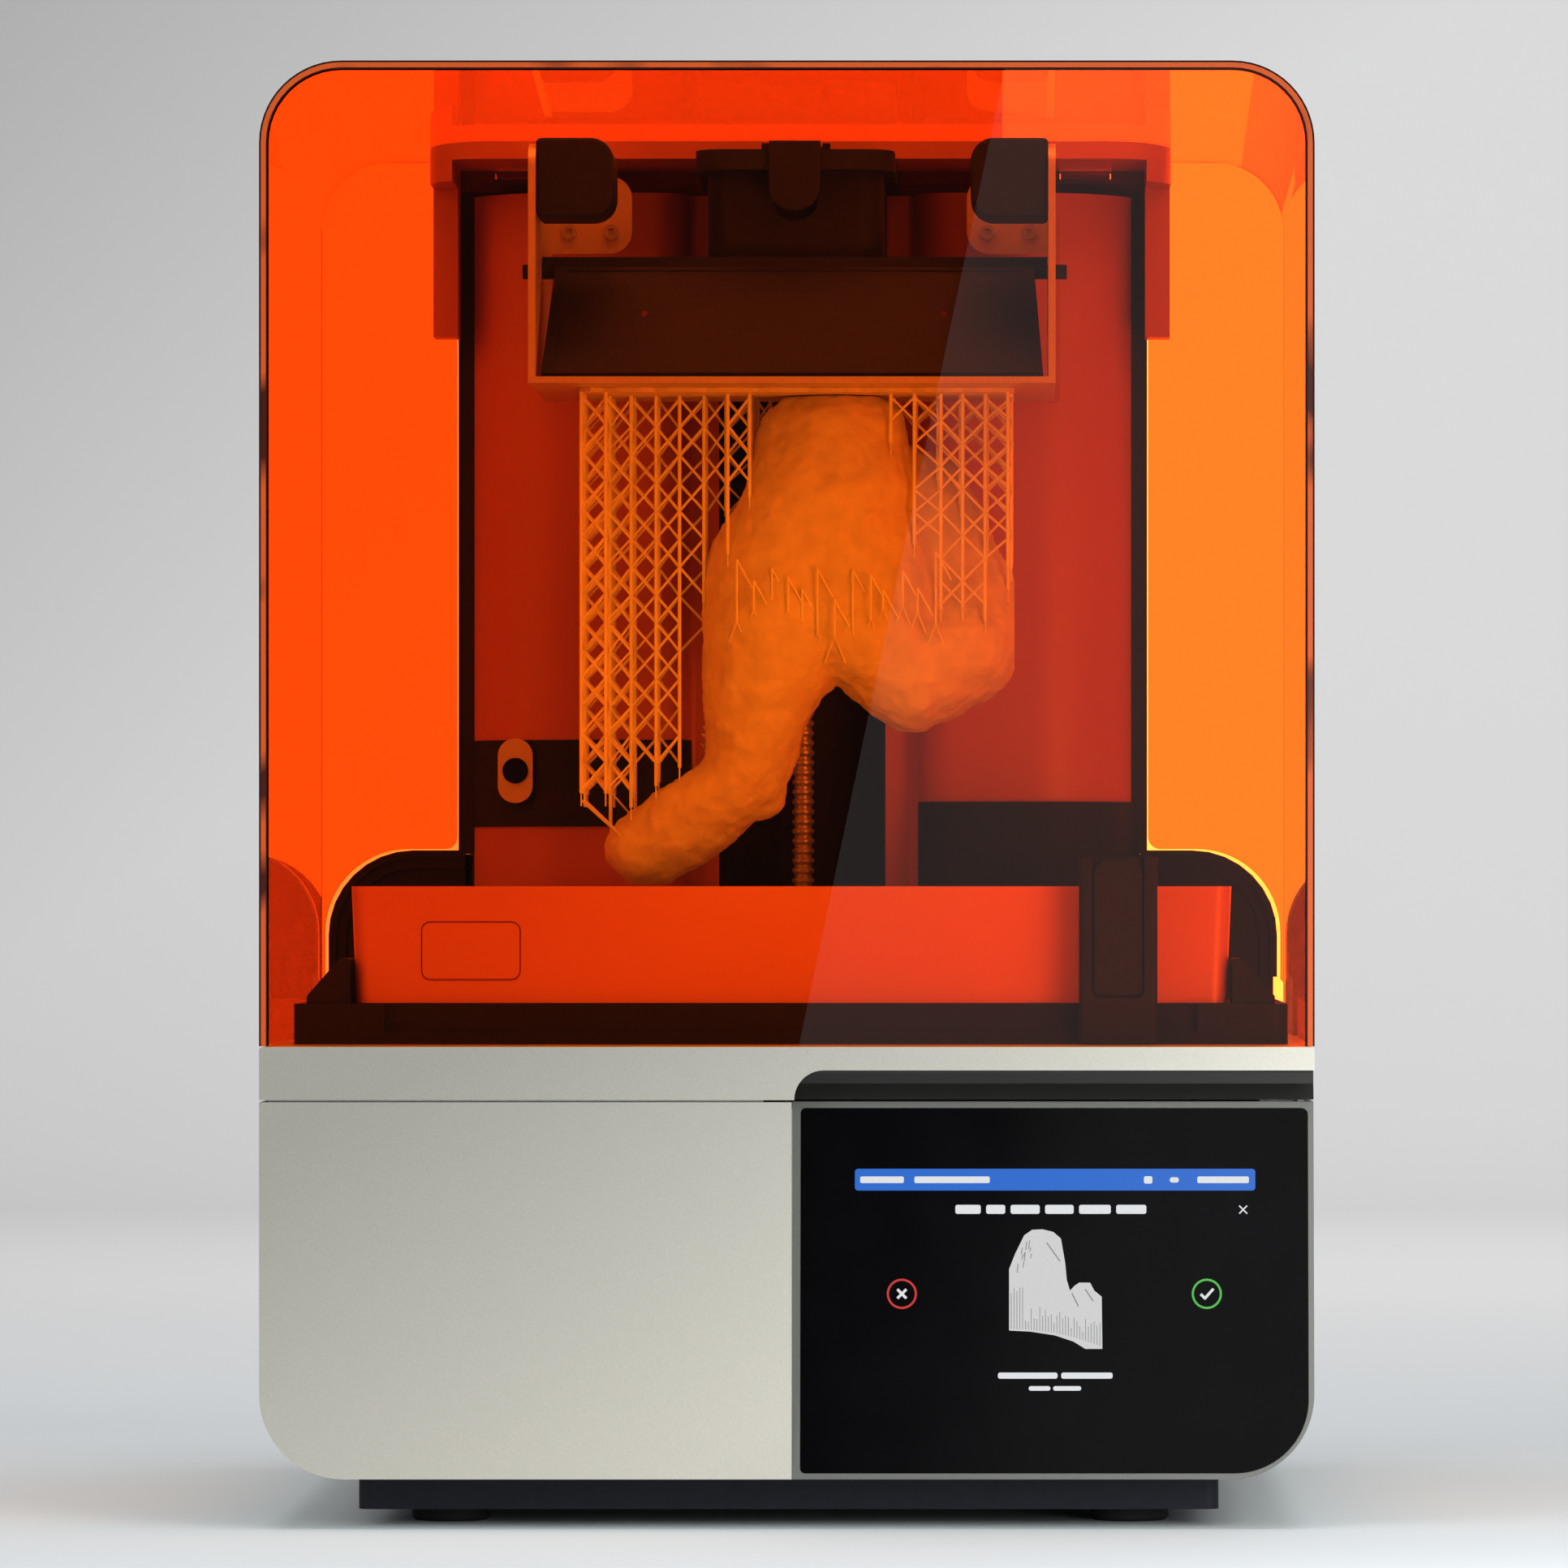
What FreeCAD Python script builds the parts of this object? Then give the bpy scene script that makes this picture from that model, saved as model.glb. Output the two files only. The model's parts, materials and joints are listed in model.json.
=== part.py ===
import FreeCAD, Part
import math
import os

from FreeCAD import Vector

# Desktop resin printer: body with the light engine, vat, Z tower, carriage with its platform, hinged cover.
# Millimetres. X runs right, Y runs to the back, Z up; the origin is on the table under the middle.

# Driving dimensions
WIDTH = 398.0
DEPTH = 367.0
HEIGHT = 554.0
HALF = WIDTH / 2
FRONT = -DEPTH / 2
REAR = DEPTH / 2
WALL = 3.0                  # moulded shells
BASE_Z = 19.0               # underside of the body
SEAM_Z = 161.2              # top of the lower shell
SEAM_GAP = 0.8
BAND_Z = SEAM_Z + SEAM_GAP  # underside of the upper band
DECK_Z = 182.0
CORNER = 32.0               # long lower corners of the body
FOOT_Z = 6.0

SCREEN_X = 1.8              # left edge of the tilted screen bay
SCREEN_RISE = 13.0          # how far the screen leans back at its top
SCREEN_TILT = math.degrees(math.atan(SCREEN_RISE / (SEAM_Z - BASE_Z)))
BEZEL = 4.0

ACRYLIC = 3.5
COVER_GAP = 0.3             # cover above the deck
COVER_CORNER = 31.0
COVER_REAR = 82.5
COVER_SLOPE = 13.5          # fall of the cover's top from front to rear
HINGE_Y = 92.5
HINGE_Z = 536.0
PIN_R = 2.5
FIT = 0.06                  # radial clearance of turning fits

TOWER_HALF = 136.5
TOWER_FRONT = 56.5
TOWER_REAR = 115.0
TOWER_TOP = 523.0
RECESS_HALF = 46.0
RECESS_Y = 74.0
SLOT_HALF = 33.5
SCREW_Y = 90.0
SCREW_R = 4.5
SCREW_PITCH = 4.0

TANK_FRONT = -114.5
TANK_REAR = 48.5
TANK_BASE = 167.6           # half width at the bottom
TANK_TOP = 169.5            # half width at the rim
TANK_LOW = 197.8
TANK_HIGH = 242.7
FILM_Z = 200.0
CARRIER_HALF = 191.0
CARRIER_FRONT = -123.5

SWITCH_Y = REAR - 6.5
SWITCH_Z = 60.0
SWITCH_PIN_R = 1.5

PLATE_HALF = 101.8
PLATE_FRONT = -103.5
PLATE_REAR = 26.5
PLATE_Z = 437.0
SHEET = 2.5                 # thickness of the platform's metal
ARM_HALF = 34.5
ARM_FRONT = -47.5
ARM_LOW = 480.0
ARM_TOP = 523.0

MIXER_X = 125.6             # parked middle of the mixing arm
BELT_Y = -120.0
PULLEY_X = 156.0
PULLEY_R = 7.0
ROD_Y = -142.0
ROD_Z = 169.0
ROD_R = 4.0


# Shape helpers

def at(axis, u, v, c):
    """Point at c along the axis and (u, v) along the other two, taken in X, Y, Z order."""
    if axis == "x":
        return Vector(c, u, v)
    if axis == "y":
        return Vector(u, c, v)
    return Vector(u, v, c)


def unit(vector):
    return Vector(vector).normalize()


def rounded_wire(axis, c, corners):
    """Closed wire through the corners (u, v, radius), each rounded to its radius."""
    edges = []
    ends = []
    for index, (u, v, radius) in enumerate(corners):
        here = at(axis, u, v, c)
        before = corners[index - 1]
        after = corners[(index + 1) % len(corners)]
        back = unit(at(axis, before[0], before[1], c) - here)
        ahead = unit(at(axis, after[0], after[1], c) - here)
        if radius == 0:
            ends.append((here, here))
            continue
        half = back.getAngle(ahead) / 2
        reach = radius / math.tan(half)
        middle = here + unit(back + ahead) * (radius / math.sin(half) - radius)
        ends.append((here + back * reach, here + ahead * reach))
        edges.append(Part.Arc(here + back * reach, middle, here + ahead * reach).toShape())
    for index, (arrive, _) in enumerate(ends):
        leave = ends[index - 1][1]
        if leave.distanceToPoint(arrive) > 1e-6:
            edges.append(Part.LineSegment(leave, arrive).toShape())
    return Part.Wire(Part.__sortEdges__(edges))


def prism(axis, low, high, corners):
    face = Part.Face(rounded_wire(axis, low, corners))
    return face.extrude(at(axis, 0, 0, high - low))


def rect(u0, u1, v0, v1, *radii):
    """Corners of a rectangle; radii go from (u0, v0) round by (u1, v0), and one radius serves all."""
    if not radii:
        radii = (0,)
    if len(radii) == 1:
        radii = radii * 4
    return [(u0, v0, radii[0]), (u1, v0, radii[1]), (u1, v1, radii[2]), (u0, v1, radii[3])]


def box(x0, x1, y0, y1, z0, z1):
    return Part.makeBox(x1 - x0, y1 - y0, z1 - z0, Vector(x0, y0, z0))


def rod(axis, radius, u, v, low, high):
    return Part.makeCylinder(radius, high - low, at(axis, u, v, low), at(axis, 0, 0, 1))


def join(first, *others):
    return first.fuse(list(others)).removeSplitter()


def mirrored(shape):
    return shape.mirror(Vector(0, 0, 0), Vector(1, 0, 0))


def both(shape):
    """The shape and its mirror image on the other side, as two solids."""
    return Part.makeCompound([shape, mirrored(shape)])


def turned(shape, centre, axis, degrees):
    copy = shape.copy()
    copy.rotate(centre, axis, degrees)
    return copy


def leaning(shape):
    """A shape made upright at the front plane, leaned back with the screen."""
    return turned(shape, Vector(0, FRONT, BASE_Z), Vector(1, 0, 0), -SCREEN_TILT)


# Body

def body_block(inset, low, high):
    radius = CORNER - inset
    sides = rect(-HALF + inset, HALF - inset, low, high, radius, radius, 0, 0)
    return prism("y", FRONT + inset, REAR - inset, sides)


def screen_space(depth):
    """Everything in front of the leaning plane that lies depth behind the glass."""
    ahead = box(SCREEN_X, HALF + 5, FRONT - 30, FRONT + depth, BASE_Z - 10, SEAM_Z + 10)
    return leaning(ahead)


def lower_shell():
    shell = body_block(0, BASE_Z, SEAM_Z).cut(body_block(WALL, BASE_Z + WALL, SEAM_Z + 1))
    rib = box(SCREEN_X - WALL, SCREEN_X, FRONT + 1, FRONT + 22, BASE_Z + 1, SEAM_Z)
    shell = join(shell, rib).cut(screen_space(BEZEL))
    shell = shell.cut(box(-5.3, 75.3, REAR - 4, REAR + 1, 39.7, 80.3))
    for row in range(9):
        low = 66 + 7 * row
        shell = shell.cut(prism("y", REAR - 4, REAR + 1, rect(-166, -108, low, low + 3.4, 1.6)))
    return shell


def screen_bezel():
    outline = rect(SCREEN_X, HALF, BASE_Z, SEAM_Z + 3, 0, CORNER, 0, 0)
    plate = prism("y", FRONT, FRONT + BEZEL, outline)
    pocket = prism("y", FRONT - 1, FRONT + 1.4, rect(4.9, 196.9, 21.2, 159.4, 2, 28, 2.6, 2))
    window = box(22, 180, FRONT - 1, FRONT + BEZEL + 1, 42, 144)
    trimmed = leaning(plate.cut(pocket).cut(window))
    return trimmed.common(box(0, HALF, FRONT - 1, FRONT + 40, BASE_Z, SEAM_Z))


def screen_glass():
    return leaning(prism("y", FRONT + 0.1, FRONT + 1.3, rect(5.1, 196.7, 21.4, 159.2, 1.8, 27.8, 2.4, 1.8)))


def display_module():
    panel = box(23, 179, FRONT + 1.4, FRONT + 6, 43, 143)
    driver = box(60, 140, FRONT + 6, FRONT + 9, 70, 120)
    return leaning(join(panel, driver))


def deck_frame():
    band = prism("y", FRONT, REAR, rect(-HALF, HALF, BAND_Z, DECK_Z, 0, 0, 1.2, 1.2))
    band = band.cut(box(-HALF + WALL, HALF - WALL, FRONT + WALL, REAR - WALL, BAND_Z - 1, DECK_Z - WALL))
    band = join(band, box(-8, HALF - 1, FRONT + 1, FRONT + 17, BAND_Z, DECK_Z - 2))
    reach = prism("y", FRONT - 1, FRONT + 15, rect(SCREEN_X + 1, HALF + 2, BAND_Z - 5, 173.2, 0, 0, 0, 11))
    lean = [(FRONT - 1, BAND_Z - 5, 0), (FRONT + 11, BAND_Z - 5, 0), (FRONT + 11, BAND_Z, 0),
            (FRONT + 14, 168, 0), (FRONT + 14, 173.2, 1.5), (FRONT - 1, 173.2, 0)]
    recess = reach.common(prism("x", 0, HALF + 2, lean))
    window = box(-112, 112, -108.5, 46.5, DECK_Z - WALL - 1, DECK_Z + 1)
    slot = prism("z", DECK_Z - WALL - 1, DECK_Z + 1, rect(-147, 147, -133, -127.5, 2.7))
    screw_hole = rod("z", 11, 0, SCREW_Y, DECK_Z - WALL - 1, DECK_Z + 1)
    idler_pin = rod("z", PIN_R, -PULLEY_X, BELT_Y, 166, DECK_Z - WALL)
    return join(band.cut(recess).cut(window).cut(slot).cut(screw_hole), idler_pin)


def chassis_frame():
    outer = box(-195.8, 195.8, FRONT + 3.2, REAR - 3.2, 150, 170)
    ring = outer.cut(box(-193.3, 193.3, FRONT + 5.7, REAR - 5.7, 149, 171))
    ring = ring.cut(box(-9, HALF, FRONT, FRONT + 22, 149, 171))
    posts = []
    for x in (-185, 185):
        for y in (-150, 150):
            posts.append(box(x - 6, x + 6, y - 6, y + 6, 40, 170))
            posts.append(box(min(x, math.copysign(194, x)), max(x, math.copysign(194, x)), y - 6, y + 6, 150, 170))
    cross = [box(-180, 180, y, y + 10, 110, 118) for y in (-106, 30)]
    stays = [box(x, x + 10, -150, 150, 118, 128) for x in (-189, 179)]
    return join(ring, *posts, *cross, *stays).cut(box(-114.5, 114.5, -110.5, 48.5, 70, 180))


def plinth():
    block = prism("z", FOOT_Z, BASE_Z, rect(-163.5, 163.5, FRONT + 26, REAR - 26, 5))
    hollow = prism("z", FOOT_Z - 1, BASE_Z - WALL, rect(-158, 158, FRONT + 31, REAR - 31, 3))
    pads = [rod("z", 18, x, y, FOOT_Z, BASE_Z) for x in (-130, 130) for y in (-125, 125)]
    return join(block.cut(hollow), *pads)


def rubber_feet():
    feet = []
    for x in (-130, 130):
        for y in (-125, 125):
            pad = rod("z", 15, x, y, 0, FOOT_Z)
            feet.append(pad.makeChamfer(1.2, [pad.Edges[2]]))
    return Part.makeCompound(feet)


# Light engine and electronics

def light_engine_housing():
    outer = box(-114, 114, -110, 48, 75, 178.5)
    return outer.cut(box(-111, 111, -107, 45, 78, 180))


def led_board():
    board = box(-100, 100, -98, 36, 78, 80)
    chips = []
    for column in range(7):
        for row in range(5):
            x = -84 + 28 * column
            y = -83 + 26 * row
            chips.append(box(x - 3, x + 3, y - 3, y + 3, 80, 81.6))
    return join(board, *chips)


def lens_array():
    plate = box(-110.9, 110.9, -106.9, 44.9, 96, 99)
    domes = []
    for column in range(7):
        for row in range(5):
            domes.append(rod("z", 11, -84 + 28 * column, -83 + 26 * row, 99, 102))
    return join(plate, *domes)


def heat_sink():
    base = box(-70, 70, -95, 25, 67, 75)
    fins = [box(-68 + 8 * index, -66 + 8 * index, -95, 25, 42, 67) for index in range(17)]
    return join(base, *fins)


def fan_frame(x, y0, y1, z, half, bore):
    block = prism("y", y0, y1, rect(x - half, x + half, z - half, z + half, 3))
    frame = block.cut(rod("y", bore, x, z, y0 - 1, y1 + 1))
    boss = rod("y", bore * 0.4, x, z, y0, y0 + 2)
    arms = []
    for turn in range(3):
        arm = box(x, x + bore + 1, y0, y0 + 2, z - 1.5, z + 1.5)
        arms.append(turned(arm, Vector(x, y0, z), Vector(0, 1, 0), 120 * turn))
    return join(frame, boss, *arms)


def fan_rotor(x, y0, y1, z, reach):
    hub = rod("y", reach * 0.4, x, z, y0, y1)
    blades = []
    for turn in range(7):
        blade = box(x + 1, x + reach, y0 + 1, y1 - 1, z - 0.8, z + 0.8)
        blade = turned(blade, Vector(x, (y0 + y1) / 2, z), Vector(1, 0, 0), 38)
        blades.append(turned(blade, Vector(x, y0, z), Vector(0, 1, 0), 360 / 7 * turn))
    inside = rod("y", reach, x, z, y0, y1)
    return join(hub, *blades).common(inside)


def light_fan_frame():
    return fan_frame(0, 30, 45, 48, 25, 23)


def light_fan_rotor():
    return fan_rotor(0, 33, 43, 48, 21.5)


def exhaust_fan_frame():
    return fan_frame(-137, 164, 180.3, 94, 35, 32.5)


def exhaust_fan_rotor():
    return fan_rotor(-137, 167, 178, 94, 30.5)


def lcd_mask():
    return box(-111.5, 111.5, -108, 46, 178.5, 181.5)


def control_board():
    board = box(-168, -75, -130, 20, 34, 35.6)
    chips = [box(-150, -126, -100, -76, 35.6, 38), box(-110, -96, -60, -46, 35.6, 37.6),
             box(-160, -150, -40, 0, 35.6, 44), box(-95, -80, -120, -90, 35.6, 46)]
    pillars = [rod("z", 3, x, y, BASE_Z + WALL, 34) for x in (-160, -83) for y in (-122, 12)]
    return join(board, *chips, *pillars)


def power_supply():
    case = box(-160, -62, 50, 140, BASE_Z + WALL, 66)
    slots = []
    for index in range(8):
        x = -152 + 11 * index
        slots.append(box(x, x + 4, 60, 130, 64.5, 67))
    for slot in slots:
        case = case.cut(slot)
    return case


def rear_connectors():
    plate = box(-5, 75, REAR - 3.4, REAR - 0.2, 40, 80)
    inlet = box(31, 59, REAR - 24, REAR - 3.4, 49, 71)
    socket = prism("y", REAR - 18, REAR + 1, rect(33.5, 56.5, 52, 68, 0, 0, 5, 5))
    blades = [box(x - 1, x + 1, REAR - 18, REAR - 6, 57, 63) for x in (39, 45, 51)]
    ports = [box(62, 72, REAR - 9, REAR + 1, 44, 50), box(61.5, 72.5, REAR - 9, REAR + 1, 55, 65)]
    shell = box(60, 74, REAR - 12, REAR - 3.4, 42, 68)
    panel = join(plate, inlet, shell).cut(socket).cut(ports[0]).cut(ports[1])
    panel = panel.cut(box(6, 22, REAR - 6, REAR + 1, 49, 71))
    cheeks = [box(x, x + 2, REAR - 10, REAR - 3.4, 54, 66) for x in (3.9, 22.1)]
    panel = join(panel, *cheeks).cut(rod("x", SWITCH_PIN_R + FIT, SWITCH_Y, SWITCH_Z, 3, 25))
    return join(panel, *blades)


def power_switch():
    face = [(SWITCH_Y - 3, SWITCH_Z - 9, 0), (SWITCH_Y + 3.5, SWITCH_Z - 9.7, 0.6), (SWITCH_Y + 2.4, SWITCH_Z, 8),
            (SWITCH_Y + 3.5, SWITCH_Z + 9.7, 0.6), (SWITCH_Y - 3, SWITCH_Z + 9, 0)]
    rocker = turned(prism("x", 6.4, 21.6, face), Vector(0, SWITCH_Y, SWITCH_Z), Vector(1, 0, 0), -8)
    return join(rocker, rod("x", SWITCH_PIN_R, SWITCH_Y, SWITCH_Z, 4.4, 23.6))


# Tower and Z drive

def tower_plan(inset, rear):
    """Plan of the tower's front: two rounded pillars with a recess between them."""
    side = TOWER_HALF - inset
    front = TOWER_FRONT + inset
    lip = RECESS_HALF + inset
    floor = RECESS_Y + inset
    right = [(lip, floor, 3 if inset == 0 else 0), (lip, front, 14 - inset), (side, front, 42 - inset), (side, rear, 0)]
    left = [(-u, v, radius) for u, v, radius in reversed(right)]
    return left + right


def tower_block():
    return prism("z", DECK_Z, TOWER_TOP, tower_plan(0, TOWER_REAR))


def tower_shell():
    hollow = prism("z", DECK_Z - 1, TOWER_TOP - WALL, tower_plan(WALL, TOWER_REAR + 1))
    slot = box(-SLOT_HALF, SLOT_HALF, RECESS_Y - 1, RECESS_Y + WALL + 1, DECK_Z - 1, 519)
    shell = tower_block().cut(hollow).cut(slot)
    for side in (-1, 1):
        groove = prism("y", TOWER_FRONT - 1, TOWER_FRONT + 1.2,
                       rect(side * 101 - 6, side * 101 + 6, 438, 515, 5.9))
        shell = shell.cut(groove)
    return shell


def tower_back_cover():
    plate = box(-TOWER_HALF, TOWER_HALF, TOWER_REAR, TOWER_REAR + WALL, DECK_Z, TOWER_TOP)
    for row in range(12):
        low = 420 + 7 * row
        plate = plate.cut(prism("y", TOWER_REAR - 1, TOWER_REAR + 5, rect(-60, 60, low, low + 3, 1.4)))
    return plate


def linear_rails():
    plate = box(-80, 80, 110, 113.5, 190, 518)
    rails = []
    for side in (-1, 1):
        rails.append(box(side * 57 - 6, side * 57 + 6, 100, 110, 195, 515))
        rails.append(box(side * 57 - 8, side * 57 + 8, 100, 104, 195, 515))
    return join(plate, *rails)


def lead_screw():
    """Turned screw with a trapezoid thread drawn as rings of the right pitch."""
    profile = [Vector(0, SCREW_Y, 192), Vector(SCREW_R - 0.5, SCREW_Y, 192), Vector(SCREW_R - 0.5, SCREW_Y, 216)]
    for turn in range(73):
        low = 216 + SCREW_PITCH * turn
        profile.append(Vector(SCREW_R, SCREW_Y, low + 0.8))
        profile.append(Vector(SCREW_R, SCREW_Y, low + 1.8))
        profile.append(Vector(SCREW_R - 1, SCREW_Y, low + 2.6))
        profile.append(Vector(SCREW_R - 1, SCREW_Y, low + 3.6))
    profile += [Vector(SCREW_R - 0.5, SCREW_Y, 508.2), Vector(SCREW_R - 0.5, SCREW_Y, 518), Vector(0, SCREW_Y, 518)]
    face = Part.Face(Part.makePolygon(profile + [profile[0]]))
    return face.revolve(Vector(0, SCREW_Y, 0), Vector(0, 0, 1), 360)


def screw_coupler():
    sleeve = rod("z", 9, 0, SCREW_Y, DECK_Z, 203)
    sleeve = sleeve.cut(rod("z", SCREW_R - 0.5, 0, SCREW_Y, 192, 204))
    clamp_slit = box(0, 10, SCREW_Y - 0.5, SCREW_Y + 0.5, 196, 204)
    shaft = rod("z", PIN_R, 0, SCREW_Y, DECK_Z - 3, 190)
    return join(sleeve.cut(clamp_slit), shaft)


def screw_bearings():
    blocks = []
    for low, high in ((205, 214), (510, 518)):
        block = box(-16, 16, 79, 110, low, high)
        blocks.append(block.cut(rod("z", SCREW_R - 0.5 + FIT, 0, SCREW_Y, low - 1, high + 1)))
    return Part.makeCompound(blocks)


def z_motor():
    body = prism("z", 137, DECK_Z - WALL, rect(-21, 21, SCREW_Y - 21, SCREW_Y + 21, 4))
    return body.cut(rod("z", 11, 0, SCREW_Y, DECK_Z - WALL - 2, DECK_Z))


def carriage_block():
    block = box(-72, 72, 79.5, 94, 472, 505)
    block = block.cut(rod("z", 8.1, 0, SCREW_Y, 471, 506))
    trucks = []
    for side in (-1, 1):
        truck = box(side * 57 - 13, side * 57 + 13, 94, 108, 474, 503)
        truck = truck.cut(box(side * 57 - 8.3, side * 57 + 8.3, 99.7, 104.3, 470, 510))
        trucks.append(truck.cut(box(side * 57 - 6.3, side * 57 + 6.3, 104, 110, 470, 510)))
    notch = box(-16, 16, 93, 96, 471, 506)
    return join(block, *trucks).cut(notch)


def lead_nut():
    nut = join(rod("z", 8, 0, SCREW_Y, 468, 500), rod("z", 11, 0, SCREW_Y, 467, 472))
    return nut.cut(rod("z", SCREW_R + FIT, 0, SCREW_Y, 460, 510))


def carriage_arm():
    neck = box(-30, 30, 60, 79.5, ARM_LOW, 505)
    body = prism("z", ARM_LOW, ARM_TOP, rect(-ARM_HALF, ARM_HALF, ARM_FRONT, 72, 9, 9, 2, 2))
    foot = box(-34, 34, ARM_FRONT + 2, -15, 462, ARM_LOW)
    ribs = box(-38, 38, -43.5, -18.5, 466, 470)
    lid = prism("z", ARM_TOP, 531, rect(-39, 39, -58.5, 66, 12, 12, 3, 3))
    finger_pocket = prism("y", ARM_FRONT - 1, ARM_FRONT + 7, rect(-9, 9, 504, ARM_TOP - 1.5, 8.5, 8.5, 0, 0))
    ears = [box(side * 12 - 1.5, side * 12 + 1.5, -38, -32, 531, 535) for side in (-1, 1)]
    pin = rod("x", 1.0, -35, 532.8, -12, 12)
    return join(neck, body.cut(finger_pocket), foot, ribs, lid, *ears, pin)


def latch_tab():
    strap = join(box(-10, 10, -61.2, -35, 531.5, 534.1), rod("x", 1.3, -35, 532.8, -10, 10))
    front = prism("y", -61.2, -58.9, rect(-10, 10, 507, 534.1, 9.5, 9.5, 0, 0))
    return join(strap, front).cut(rod("x", 1.0 + FIT, -35, 532.8, -11, 11))


def air_heater():
    side = TOWER_HALF + 0.8
    plan = [(RECESS_HALF + 1, 100, 0), (RECESS_HALF + 1, 50.5, 15), (side, 50.5, 44), (side, 100, 0)]
    block = prism("z", DECK_Z, 277, plan)
    solids = block.cut(tower_block()).Solids
    return max(solids, key=lambda solid: solid.Volume)


def camera_band():
    plan = [(-TOWER_HALF - 0.8, 104, 0), (-TOWER_HALF - 0.8, TOWER_FRONT - 1.2, 43),
            (-RECESS_HALF + 1.2, TOWER_FRONT - 1.2, 15), (-RECESS_HALF + 1.2, RECESS_Y - 0.2, 0),
            (-RECESS_HALF - 20, RECESS_Y - 0.2, 0), (-RECESS_HALF - 20, 104, 0)]
    solids = prism("z", 267, 302, plan).cut(tower_block()).Solids
    return max(solids, key=lambda solid: solid.Volume)


def camera_plate():
    plate = prism("y", 55, 70, rect(-122.5, -108.5, 276.5, 302.5, 6.9))
    plate = plate.cut(rod("y", 5.2, -115.5, 289.5, 50, 75))
    return plate.cut(tower_block()).cut(camera_band()).Solids[0]


def camera_lens():
    lens = rod("y", 5.1, -115.5, 289.5, 54.4, 70)
    return lens.cut(tower_block()).cut(camera_band()).Solids[0]


# Vat and mixer

def tank_block(inset, low, high, radius):
    wires = []
    for z in (low, high):
        share = (z - TANK_LOW) / (TANK_HIGH - TANK_LOW)
        half = TANK_BASE + (TANK_TOP - TANK_BASE) * share - inset
        wires.append(rounded_wire("z", z, rect(-half, half, TANK_FRONT + inset, TANK_REAR - inset, radius)))
    return Part.makeLoft(wires, True, True)


def tank_frame():
    vat = tank_block(0, TANK_LOW, TANK_HIGH, 6).cut(tank_block(WALL, FILM_Z, TANK_HIGH + 1, 4))
    vat = vat.cut(box(-122, 122, -106, 40, TANK_LOW - 1, FILM_Z + 1))
    outer = rect(-142.5, -103.9, 206.6, 229.2, 3.7)
    inner = rect(-141.9, -104.5, 207.2, 228.6, 3.1)
    groove = prism("y", TANK_FRONT - 1, TANK_FRONT + 0.5, outer).cut(prism("y", TANK_FRONT - 2, TANK_FRONT + 1, inner))
    return vat.cut(groove)


def tank_film():
    return box(-130, 130, TANK_FRONT + 4, TANK_REAR - 4, FILM_Z, FILM_Z + 0.4)


def mixer_blade():
    foot = box(MIXER_X - 7, MIXER_X + 7, TANK_FRONT + 8, TANK_REAR - 8, 203, 207)
    stem = box(MIXER_X - 2, MIXER_X + 2, TANK_FRONT + 8, TANK_REAR - 8, 206, 222)
    keeper = box(MIXER_X - 12, MIXER_X + 12, TANK_FRONT + 4, TANK_FRONT + 9, 203, 226)
    return join(foot, stem, keeper)


def tank_carrier():
    tray = prism("z", DECK_Z, 197.5, rect(-CARRIER_HALF, CARRIER_HALF, CARRIER_FRONT, 46, 6))
    tray = tray.cut(box(-150, 150, -104, 32, DECK_Z - 1, 198))
    return tray.cut(box(-156, 156, CARRIER_FRONT - 1, CARRIER_FRONT + 4, 187, 198))


def wedge_guides():
    face = [(169.6, 197.5, 0), (186, 197.5, 0), (186, 200.5, 1), (173.5, 215, 2), (169.6, 215, 1)]
    return both(prism("y", -119, -82, face))


def mixer_rail():
    rail = rod("x", ROD_R, ROD_Y, ROD_Z, -168, 168)
    ends = [box(side * 164 - 4, side * 164 + 4, -148, -136, 162, DECK_Z - WALL) for side in (-1, 1)]
    return join(rail, *ends)


def mixer_motor():
    body = prism("z", 124, 160.5, rect(PULLEY_X - 17.5, PULLEY_X + 17.5, BELT_Y - 17.5, BELT_Y + 17.5, 3))
    return body.cut(rod("z", 3, PULLEY_X, BELT_Y, 158, 162))


def mixer_belt():
    reach = PULLEY_R + 1.4
    inner = PULLEY_R + 0.3
    outer = rect(-PULLEY_X - reach, PULLEY_X + reach, BELT_Y - reach, BELT_Y + reach, reach - 0.001)
    hole = rect(-PULLEY_X - inner, PULLEY_X + inner, BELT_Y - inner, BELT_Y + inner, inner - 0.001)
    return prism("z", 170, 175, outer).cut(prism("z", 169, 176, hole))


def mixer_pulley(x):
    wheel = rod("z", PULLEY_R, x, BELT_Y, 169, 176)
    return join(wheel, rod("z", PULLEY_R + 1.8, x, BELT_Y, 167.6, 169), rod("z", PULLEY_R + 1.8, x, BELT_Y, 176, 177))


def mixer_pulley_drive():
    return join(mixer_pulley(PULLEY_X), rod("z", 2.4, PULLEY_X, BELT_Y, 159, 168))


def mixer_pulley_idler():
    return mixer_pulley(-PULLEY_X).cut(rod("z", PIN_R + FIT, -PULLEY_X, BELT_Y, 160, 180))


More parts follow.
